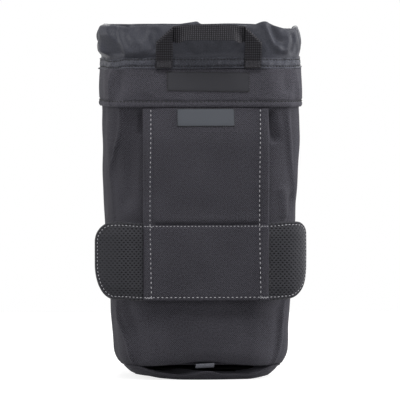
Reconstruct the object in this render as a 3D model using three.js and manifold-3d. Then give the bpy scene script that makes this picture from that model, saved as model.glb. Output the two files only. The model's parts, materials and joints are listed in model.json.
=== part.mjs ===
// Belt-mounted lens pouch: a padded drop-in case with a collar that tucks into its mouth, a webbing
// grab handle, a belt flap with two padded wings, and a bottom pocket that holds a folded rain cover.
// Millimetres, +Z up. The origin is on the floor under the pouch's axis, and the belt side faces -Y.
import * as THREE from "three";
import { mergeVertices } from "three/addons/utils/BufferGeometryUtils.js";
import Module from "manifold-3d";

// Clearance between pieces that lie on each other.
const GAP = 0.3;

// Plan of the pouch. The belt side is upright; the other walls lean in towards the foot.
const MOUTH_WIDTH = 114;
const FOOT_WIDTH = 100;
const REAR_DEPTH = 48;
const MOUTH_FRONT_DEPTH = 49;
const FOOT_FRONT_DEPTH = 43;
const CORNER_RADIUS = 24;
const SIDE_CROWN = 1.6;

// Heights, from the floor up.
const TRAY_FLOOR = 2.6;
const POCKET_HEIGHT = 6;
const BODY_HEIGHT = 153.1;
const BAND_HEIGHT = 22.7;
const COLLAR_HEIGHT = 25.6;

// Wall layers, from the outside in.
const PANEL_THICKNESS = 1.2;
const PAD_THICKNESS = 5;
const LINING_THICKNESS = 0.8;
const FOOT_ROUND = 10;
const FOOT_RISE = 9;
const PANEL_TUCK = 7;

// Floor layers above the bottom pocket.
const BASE_PANEL_THICKNESS = 1.2;
const BASE_PAD_THICKNESS = 6;
const BASE_PAD_EASE = 1.2;

// Bottom pocket.
const TRAY_WALL = 1.6;
const TRAY_SETBACK = 0.7;
const TRAY_DRAFT = 5.5;
const TRAY_EDGE = 3;
const MOUTH_FLAT = 60;
const MOUTH_CURVE = 10;
const COVER_WIDTH = 60;
const COVER_LENGTH = 52;
const COVER_EDGE = 1.8;
const COVER_SETBACK = 14;
const TAB_WIDTH = 11;
const TAB_THICKNESS = 1;
const TAB_DROP = 2.6;
const TAB_LAP = 10;

// Mouth band and what is sewn to it.
const BAND_THICKNESS = 1.1;
const HEM_HEIGHT = 2.6;
const HEM_THICKNESS = 0.5;
const TAPE_HEIGHT = 6.6;
const TAPE_THICKNESS = 0.8;
const TAPE_FLANGE = 0.8;
const BAND_LABEL_WIDTH = 48.8;
const BAND_LABEL_HEIGHT = 11.2;
const BAND_LABEL_DROP = 1.9;
const LABEL_THICKNESS = 0.7;

// Collar: an outer ply with a rolled rim, a sleeve tucked down inside it, and the hem at its end.
const COLLAR_THICKNESS = 1;
const COLLAR_BULGE = 1.8;
const ROLL_DROP = 6;
const FOLD_DEPTH = 2.2;
const FOLD_COUNT = 7;
const RIM_WAVE = 1.1;
const SLEEVE_LENGTH = 36;
const SLEEVE_THICKNESS = 0.8;
const HEM_RING_HEIGHT = 6;
const HEM_RING_THICKNESS = 2.4;
const EYELET_RADIUS = 3.4;
const EYELET_BORE = 1.8;
const EYELET_THICKNESS = 1;
const EYELET_SPACING = 15;

// Grab handle: one webbing strip with a mitre fold at each upper corner.
const WEBBING_WIDTH = 10;
const WEBBING_THICKNESS = 1.5;
const HANDLE_WIDTH = 62.6;
const HANDLE_HEIGHT = 26.5;
const HANDLE_LEAN = 22;

// Belt flap.
const FLAP_WIDTH = 74.7;
const FLAP_LENGTH = 113.8;
const FLAP_PANEL_THICKNESS = 1;
const STIFFENER_THICKNESS = 0.8;
const BACKING_THICKNESS = 0.6;
const FLARE_HEIGHT = 22;
const TUNNEL_BELLY = 0.6;
const BINDING_WIDTH = 5.4;
const BINDING_THICKNESS = 0.6;
const TAPE_PILE = 2;
const CLOSURE_WIDTH = 58;
const CLOSURE_HEIGHT = 36;
const FLAP_LABEL_WIDTH = 34;
const FLAP_LABEL_HEIGHT = 10.3;
const FLAP_LABEL_DROP = 1.6;

// Wings of the belt flap.
const WING_SPAN = 125.4;
const WING_HEIGHT = 45.8;
const WING_THICKNESS = 5.4;
const WING_FACING = 1.2;
const WING_BACKING = 0.8;
const WING_TOP_ROUND = 11;
const WING_BOTTOM_ROUND = 17;
const WING_BEND_RADIUS = 70;
const WING_PAD_MARGIN = 2;
const WING_CROWN = 1.2;

// Facet counts.
const ARC_STEPS = 3;
const STRAIGHT_STEPS = 4;
const FINE_STEPS = 14;
const WING_STEPS = 9;
const WING_RISE_STEPS = 4;

// Levels and depths that follow from the sizes above.
const bodyBottom = TRAY_FLOOR + POCKET_HEIGHT + GAP;
const bandBottom = bodyBottom + BODY_HEIGHT;
const bandTop = bandBottom + BAND_HEIGHT;
const panelTop = bandBottom + PANEL_TUCK;
const basePadBottom = bodyBottom + BASE_PANEL_THICKNESS + GAP;
const floorBottom = basePadBottom + BASE_PAD_THICKNESS + GAP;
const floorTop = floorBottom + LINING_THICKNESS;
const padInset = PANEL_THICKNESS + GAP;
const liningInset = padInset + PAD_THICKNESS + GAP;
const rimInset = liningInset + LINING_THICKNESS + GAP;
const collarBottom = bandTop + GAP;
const hemInset = rimInset + FOLD_DEPTH + 2 * GAP;

const FABRIC = { color: 0x3e3d42, roughness: 0.85, metalness: 0 };
const COLLAR_FABRIC = { color: 0x515258, roughness: 0.6, metalness: 0 };
const WEBBING = { color: 0x343237, roughness: 0.8, metalness: 0 };
const MESH_FABRIC = { color: 0x37363a, roughness: 0.9, metalness: 0 };
const FOAM = { color: 0x5c5c60, roughness: 1, metalness: 0 };
const LINING_FABRIC = { color: 0x6a6b70, roughness: 0.9, metalness: 0 };
const LABEL_BLACK = { color: 0x3a3a3e, roughness: 0.6, metalness: 0 };
const LABEL_GREY = { color: 0x56565c, roughness: 0.6, metalness: 0 };
const TAB_GREY = { color: 0x8a8b92, roughness: 0.7, metalness: 0 };
const PILE_TAPE = { color: 0x2b2b2e, roughness: 1, metalness: 0 };
const SHEET_PLASTIC = { color: 0x202022, roughness: 0.5, metalness: 0 };
const EYELET_METAL = { color: 0x55565a, roughness: 0.35, metalness: 1 };

const wasm = await Module();
wasm.setup();

const lerp = THREE.MathUtils.lerp;
const clamp = THREE.MathUtils.clamp;

// Solids: lofted skins, and joins and cuts of closed skins.

// Turns a closed skin's faces round if they point inwards.
function facingOut(geometry) {
  const position = geometry.getAttribute("position");
  const index = geometry.getIndex().array;
  const corner = [0, 1, 2].map(() => new THREE.Vector3());
  let volume = 0;
  for (let i = 0; i < index.length; i += 3) {
    corner.forEach((v, k) => v.fromBufferAttribute(position, index[i + k]));
    volume += corner[0].dot(corner[1].clone().cross(corner[2]));
  }
  if (volume < 0) {
    index.reverse();
  }
  return geometry;
}

// A skin over closed sections with equal, even point counts. A ring joins its last section to its
// first. Otherwise the ends are closed with strips: a section's points run out along one of its long
// edges and come back along the other, so its first point lies across from its last.
function loft(sections, ring = false) {
  const count = sections[0].length;
  const rows = sections.length;
  const at = (i, j) => (i % rows) * count + (j % count);
  const index = [];
  const quad = (a, b, c, d) => index.push(a, b, c, a, c, d);
  for (let i = 0; i < (ring ? rows : rows - 1); i++) {
    for (let j = 0; j < count; j++) {
      quad(at(i, j), at(i + 1, j), at(i + 1, j + 1), at(i, j + 1));
    }
  }
  for (let j = 0; j < count / 2 - 1 && !ring; j++) {
    const strip = [j, j + 1, count - 2 - j, count - 1 - j];
    quad(...strip.map((k) => at(0, k)));
    quad(...strip.reverse().map((k) => at(rows - 1, k)));
  }
  const geometry = new THREE.BufferGeometry().setFromPoints(sections.flat());
  geometry.setIndex(index);
  return facingOut(geometry);
}

function solidOf(geometry) {
  const bare = geometry.clone();
  bare.deleteAttribute("normal");
  bare.deleteAttribute("uv");
  const merged = mergeVertices(bare, 1e-4);
  const vertProperties = new Float32Array(merged.getAttribute("position").array);
  const triVerts = new Uint32Array(merged.getIndex().array);
  return new wasm.Manifold(new wasm.Mesh({ numProp: 3, vertProperties, triVerts }));
}

function geometryOf(solid) {
  const mesh = solid.getMesh();
  const geometry = new THREE.BufferGeometry();
  geometry.setAttribute("position", new THREE.BufferAttribute(mesh.vertProperties, 3));
  geometry.setIndex(new THREE.BufferAttribute(mesh.triVerts, 1));
  return geometry;
}

// Plan of the pouch: a rounded rectangle with bowed sides, narrower towards the foot.

// Share of each side's run that a corner's half takes.
const ARC_SHARE = 0.2;

// Stations along one side, 0 to 1: steps round half a corner, along the straight, round half a corner.
function sideStations(arcSteps, straightSteps) {
  const stations = [];
  for (let i = 0; i < arcSteps; i++) {
    stations.push((ARC_SHARE * i) / arcSteps);
  }
  for (let i = 0; i <= straightSteps; i++) {
    stations.push(lerp(ARC_SHARE, 1 - ARC_SHARE, i / straightSteps));
  }
  for (let i = 1; i <= arcSteps; i++) {
    stations.push(1 - ARC_SHARE + (ARC_SHARE * i) / arcSteps);
  }
  return stations;
}

const sideRun = sideStations(ARC_STEPS, STRAIGHT_STEPS);
const ringRun = [0, 1, 2, 3].flatMap((side) => sideRun.slice(0, -1).map((s) => side + s));
const fineRun = Array.from({ length: 4 * FINE_STEPS }, (_, i) => i / FINE_STEPS);

// A point of the plan. u runs from 0 to 4, one unit a side: rear, right, front, left.
function planPoint(u, z, inset) {
  const side = Math.floor(u) % 4;
  const s = u - Math.floor(u);
  const t = clamp((z - bodyBottom) / BODY_HEIGHT, 0, 1);
  const half = lerp(FOOT_WIDTH, MOUTH_WIDTH, t) / 2 - inset;
  const rear = REAR_DEPTH - inset;
  const front = lerp(FOOT_FRONT_DEPTH, MOUTH_FRONT_DEPTH, t) - inset;
  const radius = CORNER_RADIUS - inset;
  const x = half - radius;
  const corners = [[-x, radius - rear], [x, radius - rear], [x, front - radius], [-x, front - radius]];
  const facing = ((side - 1) * Math.PI) / 2;
  const onCorner = (corner, angle) =>
    new THREE.Vector3(
      corner[0] + radius * Math.cos(angle),
      corner[1] + radius * Math.sin(angle),
      z,
    );
  const start = corners[side];
  const end = corners[(side + 1) % 4];
  if (s < ARC_SHARE) {
    return onCorner(start, facing - ((1 - s / ARC_SHARE) * Math.PI) / 4);
  }
  if (s > 1 - ARC_SHARE) {
    return onCorner(end, facing + ((1 - (1 - s) / ARC_SHARE) * Math.PI) / 4);
  }
  const along = (s - ARC_SHARE) / (1 - 2 * ARC_SHARE);
  const point = onCorner(start, facing).lerp(onCorner(end, facing), along);
  const crown = side === 0 ? 0 : SIDE_CROWN * Math.sin(Math.PI * along) ** 2;
  return point.add(new THREE.Vector3(Math.cos(facing), Math.sin(facing), 0).multiplyScalar(crown));
}

// How far the wall's lower edge turns in under the foot.
function footTurn(z) {
  const turn = clamp((bodyBottom + FOOT_RISE - z) / FOOT_ROUND, 0, 1);
  return FOOT_ROUND * (1 - Math.sqrt(1 - turn * turn));
}

function wallPoint(u, z, inset) {
  return planPoint(u, z, inset + footTurn(z));
}

// One side's layer of the wall, between two insets, with a seam's clearance at each corner.
function wallPanel(side, heights, outer, inner) {
  const arc = (Math.PI / 4) * (CORNER_RADIUS - inner);
  const seam = (ARC_SHARE * GAP) / (2 * arc);
  const stations = sideRun.map((s) => side + clamp(s, seam, 1 - seam));
  const down = [...heights].reverse();
  return loft(
    stations.map((u) => [
      ...heights.map((z) => wallPoint(u, z, outer)),
      ...down.map((z) => wallPoint(u, z, inner)),
    ]),
  );
}

// A band right round the pouch: its profile is a closed line of [distance out from the wall, height].
function wallRing(profile) {
  return loft(ringRun.map((u) => profile.map(([out, z]) => planPoint(u, z, -out))), true);
}

// A plate or a plug of the plan's outline: levels are [inset, height], from the bottom up.
function planStack(levels) {
  return loft(levels.map(([inset, z]) => ringRun.map((u) => planPoint(u, z, inset))));
}

// A strip with the same profile at both its ends, across the belt side. The profile's points are
// [distance out from the rear wall, height].
function rearStrip(profile, left, right) {
  return loft([left, right].map((x) => profile.map(([out, z]) => new THREE.Vector3(x, -REAR_DEPTH - out, z))));
}

function rearPlate(width, out, thickness, bottom, top) {
  const profile = [[out, bottom], [out + thickness, bottom], [out + thickness, top], [out, top]];
  return rearStrip(profile, -width / 2, width / 2);
}

const pouch = new THREE.Group();

function addPart(name, geometry, look, parent = pouch) {
  const mesh = new THREE.Mesh(geometry, new THREE.MeshStandardMaterial(look));
  mesh.name = name;
  parent.add(mesh);
}

// Walls: outer panels, foam pads and the lining.
const SIDES = ["rear", "right_side", "front", "left_side"];
const PANEL_LEVELS = 7;
const footLevels = [0, 0.25, 0.5, 0.75, 1].map((t) => bodyBottom + t * FOOT_RISE);
const wallLevels = Array.from({ length: PANEL_LEVELS }, (_, i) =>
  lerp(bodyBottom + FOOT_RISE, panelTop, (i + 1) / PANEL_LEVELS),
);
const padLevels = [floorBottom, bandBottom, bandTop - 2 * GAP];

SIDES.forEach((name, side) => {
  addPart(`${name}_panel`, wallPanel(side, [...footLevels, ...wallLevels], 0, PANEL_THICKNESS), FABRIC);
  addPart(`${name}_pad`, wallPanel(side, padLevels, padInset, padInset + PAD_THICKNESS), FOAM);
});

function liningSleeve() {
  const inner = -liningInset - LINING_THICKNESS;
  const levels = [floorTop + GAP, bandBottom, bandTop - GAP];
  const outside = levels.map((z) => [-liningInset, z]);
  const inside = levels.map((z) => [inner, z]).reverse();
  return wallRing([...outside, ...inside]);
}
addPart("lining_sleeve", liningSleeve(), LINING_FABRIC);

// Floor of the lens compartment.
const floorInset = footTurn(bodyBottom) + padInset;
const basePadInset = footTurn(basePadBottom) + padInset + BASE_PAD_EASE;
addPart(
  "base_panel",
  planStack([[floorInset, bodyBottom], [floorInset, bodyBottom + BASE_PANEL_THICKNESS]]),
  FABRIC,
);
addPart(
  "base_pad",
  planStack([[basePadInset, basePadBottom], [basePadInset, basePadBottom + BASE_PAD_THICKNESS]]),
  FOAM,
);
addPart("lining_floor", planStack([[liningInset, floorBottom], [liningInset, floorTop]]), LINING_FABRIC);

// Bottom pocket: a shallow tray sewn under the body, open at the belt side, and the rain cover in it.
const trayTop = bodyBottom - GAP;
const trayInset = footTurn(bodyBottom) + TRAY_SETBACK;

function pocketTray() {
  const foot = trayInset + TRAY_DRAFT;
  const block = planStack([
    [foot + TRAY_EDGE, 0],
    [foot + TRAY_EDGE / 4, TRAY_EDGE / 2],
    [foot, TRAY_FLOOR],
    [trayInset, trayTop],
  ]);
  const above = trayTop + TRAY_FLOOR;
  const slope = TRAY_DRAFT / (trayTop - TRAY_FLOOR);
  const cavity = planStack([
    [foot + TRAY_WALL, TRAY_FLOOR],
    [trayInset + TRAY_WALL - slope * TRAY_FLOOR, above],
  ]);
  const mouth = new THREE.Shape();
  mouth.moveTo(-MOUTH_FLAT / 2, TRAY_FLOOR);
  mouth.lineTo(MOUTH_FLAT / 2, TRAY_FLOOR);
  mouth.quadraticCurveTo(MOUTH_FLAT / 2 + MOUTH_CURVE / 2, TRAY_FLOOR, MOUTH_FLAT / 2 + MOUTH_CURVE, above);
  mouth.lineTo(-MOUTH_FLAT / 2 - MOUTH_CURVE, above);
  mouth.quadraticCurveTo(-MOUTH_FLAT / 2 - MOUTH_CURVE / 2, TRAY_FLOOR, -MOUTH_FLAT / 2, TRAY_FLOOR);
  const cut = new THREE.ExtrudeGeometry(mouth, { depth: REAR_DEPTH, bevelEnabled: false, curveSegments: 6 });
  cut.rotateX(Math.PI / 2);
  return geometryOf(solidOf(block).subtract(solidOf(cavity)).subtract(solidOf(cut)));
}
addPart("pocket_tray", pocketTray(), FABRIC);

const tabTop = trayTop - GAP;
const coverTop = tabTop - TAB_THICKNESS - GAP;
const coverHeight = coverTop - TRAY_FLOOR - GAP;
const coverRear = -REAR_DEPTH + COVER_SETBACK;

function rainCover() {
  const half = COVER_WIDTH / 2 - COVER_EDGE;
  const outline = new THREE.Shape();
  outline.moveTo(-half, COVER_EDGE);
  outline.lineTo(half, COVER_EDGE);
  outline.lineTo(half, COVER_LENGTH - COVER_EDGE);
  outline.lineTo(-half, COVER_LENGTH - COVER_EDGE);
  const bundle = new THREE.ExtrudeGeometry(outline, {
    depth: coverHeight - 2 * COVER_EDGE,
    bevelThickness: COVER_EDGE,
    bevelSize: COVER_EDGE,
    bevelSegments: 2,
    steps: 1,
  });
  bundle.translate(0, coverRear, TRAY_FLOOR + GAP + COVER_EDGE);
  return geometryOf(solidOf(bundle));
}
addPart("rain_cover", rainCover(), COLLAR_FABRIC);

// The pull tab is sewn along the cover's top and turns down at the pocket's mouth.
function coverTab() {
  const end = -REAR_DEPTH + footTurn(bodyBottom);
  const start = coverRear + TAB_LAP;
  const profile = [
    [start, tabTop],
    [end, tabTop],
    [end, tabTop - TAB_DROP],
    [end + TAB_THICKNESS, tabTop - TAB_DROP],
    [end + TAB_THICKNESS, tabTop - TAB_THICKNESS],
    [start, tabTop - TAB_THICKNESS],
  ];
  return loft([-TAB_WIDTH / 2, TAB_WIDTH / 2].map((x) => profile.map(([y, z]) => new THREE.Vector3(x, y, z))));
}
addPart("rain_cover_tab", coverTab(), TAB_GREY);

// Mouth band: a fabric ring with a hemmed lower edge over the panels' tops, with a stiffening strip in it.
const bandFace = GAP + BAND_THICKNESS;
const hemFace = bandFace + HEM_THICKNESS;
addPart(
  "mouth_band",
  wallRing([
    [hemFace, bandBottom],
    [hemFace, bandBottom + HEM_HEIGHT],
    [bandFace, bandBottom + HEM_HEIGHT + HEM_THICKNESS],
    [bandFace, bandTop],
    [GAP, bandTop],
    [GAP, bandBottom],
  ]),
  FABRIC,
);
addPart(
  "band_stiffener",
  wallRing([[0, panelTop + GAP], [0, bandTop], [-PANEL_THICKNESS, bandTop], [-PANEL_THICKNESS, panelTop + GAP]]),
  SHEET_PLASTIC,
);
const bandLabelTop = bandTop - BAND_LABEL_DROP;
addPart(
  "band_label",
  rearPlate(BAND_LABEL_WIDTH, bandFace + GAP, LABEL_THICKNESS, bandLabelTop - BAND_LABEL_HEIGHT, bandLabelTop),
  LABEL_BLACK,
);

// Collar. Its folds draw it in towards the rim; every ply follows the same folds.
function foldDepth(u) {
  const turn = (Math.PI / 2) * u;
  const wide = 0.5 - 0.5 * Math.cos(FOLD_COUNT * turn);
  const narrow = 0.5 - 0.5 * Math.cos((FOLD_COUNT + 4) * turn + 1);
  return FOLD_DEPTH * (0.6 * wide + 0.4 * narrow);
}

function rimRise(u) {
  const turn = (Math.PI / 2) * u;
  return RIM_WAVE * Math.sin(3 * turn + 0.6);
}

// A line moved to its left by a distance.
function beside(line, distance) {
  return line.map((p, i) => {
    const a = line[Math.max(i - 1, 0)];
    const b = line[Math.min(i + 1, line.length - 1)];
    const run = new THREE.Vector2(b[0] - a[0], b[1] - a[1]).normalize();
    return [p[0] - run.y * distance, p[1] + run.x * distance];
  });
}

const tapeTop = collarBottom + TAPE_HEIGHT;
const rimTop = collarBottom + COLLAR_HEIGHT;

function collarPly() {
  const free = rimTop - tapeTop;
  const skin = [
    [0, collarBottom],
    [0, tapeTop],
    [COLLAR_BULGE, tapeTop + 0.3 * free],
    [COLLAR_BULGE / 2, tapeTop + 0.65 * free],
    [-0.2 * rimInset, tapeTop + 0.92 * free],
    [-0.55 * rimInset, rimTop],
    [-0.9 * rimInset, rimTop - 0.35 * ROLL_DROP],
    [-rimInset, rimTop - ROLL_DROP],
  ];
  const profile = [...skin, ...beside(skin, COLLAR_THICKNESS).reverse()];
  const sections = fineRun.map((u) =>
    profile.map(([out, z]) => {
      const share = clamp((z - tapeTop) / (rimTop - ROLL_DROP - tapeTop), 0, 1);
      const drawn = foldDepth(u) * share;
      return planPoint(u, bandTop, drawn - out).setZ(z + rimRise(u) * share);
    }),
  );
  return loft(sections, true);
}
addPart("collar", collarPly(), COLLAR_FABRIC);

const tapeFace = GAP + TAPE_THICKNESS;
addPart(
  "collar_seam_tape",
  wallRing([
    [tapeFace + TAPE_FLANGE, collarBottom],
    [tapeFace, collarBottom + TAPE_HEIGHT / 3],
    [tapeFace, tapeTop - GAP],
    [GAP, tapeTop - GAP],
    [GAP, collarBottom],
  ]),
  COLLAR_FABRIC,
);

const sleeveTop = rimTop - ROLL_DROP / 2;
const sleeveBottom = sleeveTop - SLEEVE_LENGTH;

function collarSleeve() {
  const level = (t) => lerp(sleeveTop, sleeveBottom, t);
  const steps = [0, 0.35, 0.7, 1];
  const sections = fineRun.map((u) => {
    const edge = (t) => lerp(rimInset + GAP + foldDepth(u), hemInset, t);
    const outside = steps.map((t) => planPoint(u, bandTop, edge(t)).setZ(level(t)));
    const inside = steps.map((t) => planPoint(u, bandTop, edge(t) + SLEEVE_THICKNESS).setZ(level(t)));
    return [...outside, ...inside.reverse()];
  });
  return loft(sections, true);
}
addPart("collar_sleeve", collarSleeve(), COLLAR_FABRIC);

const hemTop = sleeveBottom - GAP;
const hemBottom = hemTop - HEM_RING_HEIGHT;
const hemBack = hemInset + HEM_RING_THICKNESS;

function collarHem() {
  const round = HEM_RING_THICKNESS / 3;
  return wallRing([
    [-hemInset, hemBottom + round],
    [-hemInset, hemTop - round],
    [-hemInset - round, hemTop],
    [round - hemBack, hemTop],
    [-hemBack, hemTop - round],
    [-hemBack, hemBottom + round],
    [round - hemBack, hemBottom],
    [-hemInset - round, hemBottom],
  ]);
}
addPart("collar_hem", collarHem(), COLLAR_FABRIC);

// Two eyelets on the hem's front, where a drawcord leaves its channel.
function hemEyelet(x) {
  const middle = planPoint(2.5, bandTop, hemBack);
  const facetEnd = planPoint(2.5 + (1 - 2 * ARC_SHARE) / STRAIGHT_STEPS, bandTop, hemBack);
  const reach = (EYELET_SPACING / 2 + EYELET_RADIUS) / Math.abs(facetEnd.x - middle.x);
  const face = lerp(middle.y, facetEnd.y, reach) - GAP;
  const profile = [
    new THREE.Vector2(EYELET_BORE, 0),
    new THREE.Vector2(EYELET_RADIUS, 0),
    new THREE.Vector2(EYELET_RADIUS, EYELET_THICKNESS / 2),
    new THREE.Vector2((EYELET_BORE + EYELET_RADIUS) / 2, EYELET_THICKNESS),
    new THREE.Vector2(EYELET_BORE, EYELET_THICKNESS / 2),
    new THREE.Vector2(EYELET_BORE, 0),
  ];
  const ring = geometryOf(solidOf(new THREE.LatheGeometry(profile, 16)));
  ring.rotateX(Math.PI);
  ring.translate(x, face, (hemTop + hemBottom) / 2);
  return ring;
}
addPart("hem_eyelet_left", hemEyelet(-EYELET_SPACING / 2), EYELET_METAL);
addPart("hem_eyelet_right", hemEyelet(EYELET_SPACING / 2), EYELET_METAL);

// Grab handle, drawn flat and then leant out from the collar about its sewn ends. The legs lie in
// front; at the mitres the strip folds back, so the span between them lies behind.
function handleStrap() {
  const outer = HANDLE_WIDTH / 2;
  const inner = outer - WEBBING_WIDTH;
  const shoulder = HANDLE_HEIGHT - WEBBING_WIDTH;
  const fused = WEBBING_THICKNESS / 15;
  const strip = (points, back) => {
    const shape = new THREE.Shape(points.map(([x, z]) => new THREE.Vector2(x, z)));
    const flat = new THREE.ExtrudeGeometry(shape, { depth: WEBBING_THICKNESS, bevelEnabled: false });
    flat.rotateX(Math.PI / 2);
    flat.translate(0, back, 0);
    return solidOf(flat);
  };
  const leg = (sign) => [[sign * inner, 0], [sign * outer, 0], [sign * outer, shoulder], [sign * inner, HANDLE_HEIGHT]];
  const span = [[-outer, shoulder], [outer, shoulder], [inner, HANDLE_HEIGHT], [-inner, HANDLE_HEIGHT]];
  const legs = [-1, 1].map((sign) => strip(leg(sign), 0));
  const bridge = strip(span, WEBBING_THICKNESS - fused);
  return geometryOf(legs[0].add(legs[1]).add(bridge));
}

const handle = new THREE.Group();
handle.position.set(0, -REAR_DEPTH - tapeFace - TAPE_FLANGE - GAP, collarBottom + GAP);
handle.rotation.x = THREE.MathUtils.degToRad(HANDLE_LEAN);
addPart("handle_strap", handleStrap(), WEBBING, handle);
pouch.add(handle);

// Belt flap: panel, stiffening sheet and backing, hung from the band's hem. It stands off the rear
// wall far enough for a belt, and closes on two pile tapes behind the wings.
const flapTop = bandBottom - GAP;
const flapBottom = flapTop - FLAP_LENGTH;
const closureStandoff = 2 * TAPE_PILE + 3 * GAP;
const layersBehindPanel = STIFFENER_THICKNESS + BACKING_THICKNESS + 2 * GAP;
const panelStandoff = closureStandoff + layersBehindPanel;
const wingTop = flapBottom + WING_HEIGHT;
const layerTop = flapTop - FLARE_HEIGHT / 2;

// How far the back of the flap panel stands off the rear wall.
function flapOut(z) {
  const flare = Math.sin((Math.PI / 2) * clamp((flapTop - z) / FLARE_HEIGHT, 0, 1));
  const belly = Math.sin(Math.PI * clamp((flapTop - z) / (flapTop - wingTop), 0, 1)) ** 2;
  return GAP + (panelStandoff - GAP) * flare + TUNNEL_BELLY * belly;
}

const FLARE_STEPS = 6;
const RUN_STEPS = 6;
const flapLevels = [
  ...Array.from({ length: FLARE_STEPS }, (_, i) => flapTop - (FLARE_HEIGHT * i) / FLARE_STEPS),
  ...Array.from({ length: RUN_STEPS }, (_, i) => lerp(flapTop - FLARE_HEIGHT, wingTop, i / RUN_STEPS)),
  wingTop,
  flapBottom,
];

// One layer of the flap, between two distances out from the panel's back.
function flapLayer(width, from, to, top) {
  const levels = flapLevels.filter((z) => z <= top);
  const back = levels.map((z) => [flapOut(z) + from, z]);
  const face = levels.map((z) => [flapOut(z) + to, z]).reverse();
  return rearStrip([...back, ...face], -width / 2, width / 2);
}

const panelWidth = FLAP_WIDTH - 2 * (GAP + BINDING_THICKNESS);
const stiffenerBack = -GAP - STIFFENER_THICKNESS;
const backingFace = stiffenerBack - GAP;
const backingBack = backingFace - BACKING_THICKNESS;
addPart("flap_panel", flapLayer(panelWidth, 0, FLAP_PANEL_THICKNESS, flapTop), FABRIC);
addPart("flap_stiffener", flapLayer(panelWidth, stiffenerBack, -GAP, layerTop), SHEET_PLASTIC);
addPart("flap_backing", flapLayer(panelWidth, backingBack, backingFace, layerTop), FABRIC);

// Binding over each long edge of the flap: one leg on the panel's face, one down the edge.
function flapBinding(sign) {
  const edge = panelWidth / 2 + GAP;
  const face = FLAP_PANEL_THICKNESS + GAP;
  const outline = [
    [edge + BINDING_THICKNESS - BINDING_WIDTH, face + BINDING_THICKNESS],
    [edge + BINDING_THICKNESS, face + BINDING_THICKNESS],
    [edge + BINDING_THICKNESS, 0],
    [edge, 0],
    [edge, face],
    [edge + BINDING_THICKNESS - BINDING_WIDTH, face],
  ];
  const levels = flapLevels.slice(1);
  return loft(
    levels.map((z) => outline.map(([x, out]) => new THREE.Vector3(sign * x, -REAR_DEPTH - flapOut(z) - out, z))),
  );
}
addPart("flap_binding_left", flapBinding(-1), FABRIC);
addPart("flap_binding_right", flapBinding(1), FABRIC);

// The label follows the panel's face.
function flapLabel() {
  const top = flapTop - FLAP_LABEL_DROP;
  const levels = [0, 1, 2, 3].map((i) => top - (FLAP_LABEL_HEIGHT * i) / 3);
  const lift = FLAP_PANEL_THICKNESS + GAP;
  const back = levels.map((z) => [flapOut(z) + lift, z]);
  const face = levels.map((z) => [flapOut(z) + lift + LABEL_THICKNESS, z]).reverse();
  return rearStrip([...back, ...face], -FLAP_LABEL_WIDTH / 2, FLAP_LABEL_WIDTH / 2);
}
addPart("flap_label", flapLabel(), LABEL_GREY);

const closureBottom = flapBottom + (WING_HEIGHT - CLOSURE_HEIGHT) / 2;
const closureTop = closureBottom + CLOSURE_HEIGHT;
addPart("loop_tape", rearPlate(CLOSURE_WIDTH, GAP, TAPE_PILE, closureBottom, closureTop), PILE_TAPE);
addPart("hook_tape", rearPlate(CLOSURE_WIDTH, 2 * GAP + TAPE_PILE, TAPE_PILE, closureBottom, closureTop), PILE_TAPE);

// Wings: mesh facing, foam pad and backing on each side of the flap, with round ends that bend back.
const wingRoot = FLAP_WIDTH / 2 + GAP;
const wingTip = WING_SPAN / 2;
const wingFace = panelStandoff + FLAP_PANEL_THICKNESS + GAP;

// Distances from the middle at which a wing's sections lie, closer together towards its round end.
const wingStations = Array.from({ length: WING_STEPS + 1 }, (_, i) =>
  lerp(wingRoot, wingTip, Math.sin((Math.PI / 2) * (i / WING_STEPS))),
);

// Lower and upper edge of a wing at a distance from the middle, drawn in by a margin.
function wingEdges(x, margin) {
  const tip = wingTip - margin;
  const round = (radius) => {
    const into = clamp((x - tip) / radius + 1, 0, 1);
    return radius * (1 - Math.sqrt(1 - into * into));
  };
  const lower = flapBottom + margin + round(WING_BOTTOM_ROUND - margin);
  const upper = wingTop - margin - round(WING_TOP_ROUND - margin);
  return [lower, upper];
}

// One layer of a wing. Its front and its back can each be crowned, most in the middle of the wing.
function wingLayer(sign, face, thickness, margin, frontCrown, backCrown) {
  const reach = wingTip - margin;
  const stations = [...wingStations.filter((x) => x < reach - GAP), reach];
  const across = Array.from({ length: WING_RISE_STEPS + 1 }, (_, i) => i / WING_RISE_STEPS);
  return loft(
    stations.map((x) => {
      const [lower, upper] = wingEdges(x, margin);
      const [foot, head] = wingEdges(x, 0);
      const bend = (x - wingRoot) ** 2 / (2 * WING_BEND_RADIUS);
      const along = Math.sin((Math.PI * (x - wingRoot)) / (wingTip - wingRoot));
      const edge = (crown, back) => (t) => {
        const z = lerp(lower, upper, t);
        const swell = (crown * along * 4 * (z - foot) * (head - z)) / (head - foot) ** 2;
        return new THREE.Vector3(sign * x, bend + back - REAR_DEPTH - face - swell, z);
      };
      return [...across.map(edge(frontCrown, 0)), ...across.map(edge(backCrown, thickness)).reverse()];
    }),
  );
}

const wingPad = WING_THICKNESS - WING_FACING - WING_BACKING - 2 * GAP;
const wingPadFace = wingFace - WING_FACING - GAP;
const wingBackingFace = wingPadFace - wingPad - GAP;
for (const [side, sign] of [["left", -1], ["right", 1]]) {
  addPart(`${side}_wing_mesh`, wingLayer(sign, wingFace, WING_FACING, 0, WING_CROWN, WING_CROWN), MESH_FABRIC);
  addPart(`${side}_wing_pad`, wingLayer(sign, wingPadFace, wingPad, WING_PAD_MARGIN, WING_CROWN, 0), FOAM);
  addPart(`${side}_wing_backing`, wingLayer(sign, wingBackingFace, WING_BACKING, 0, 0, 0), FABRIC);
}

export default pouch;
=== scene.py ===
import json
import math

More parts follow.
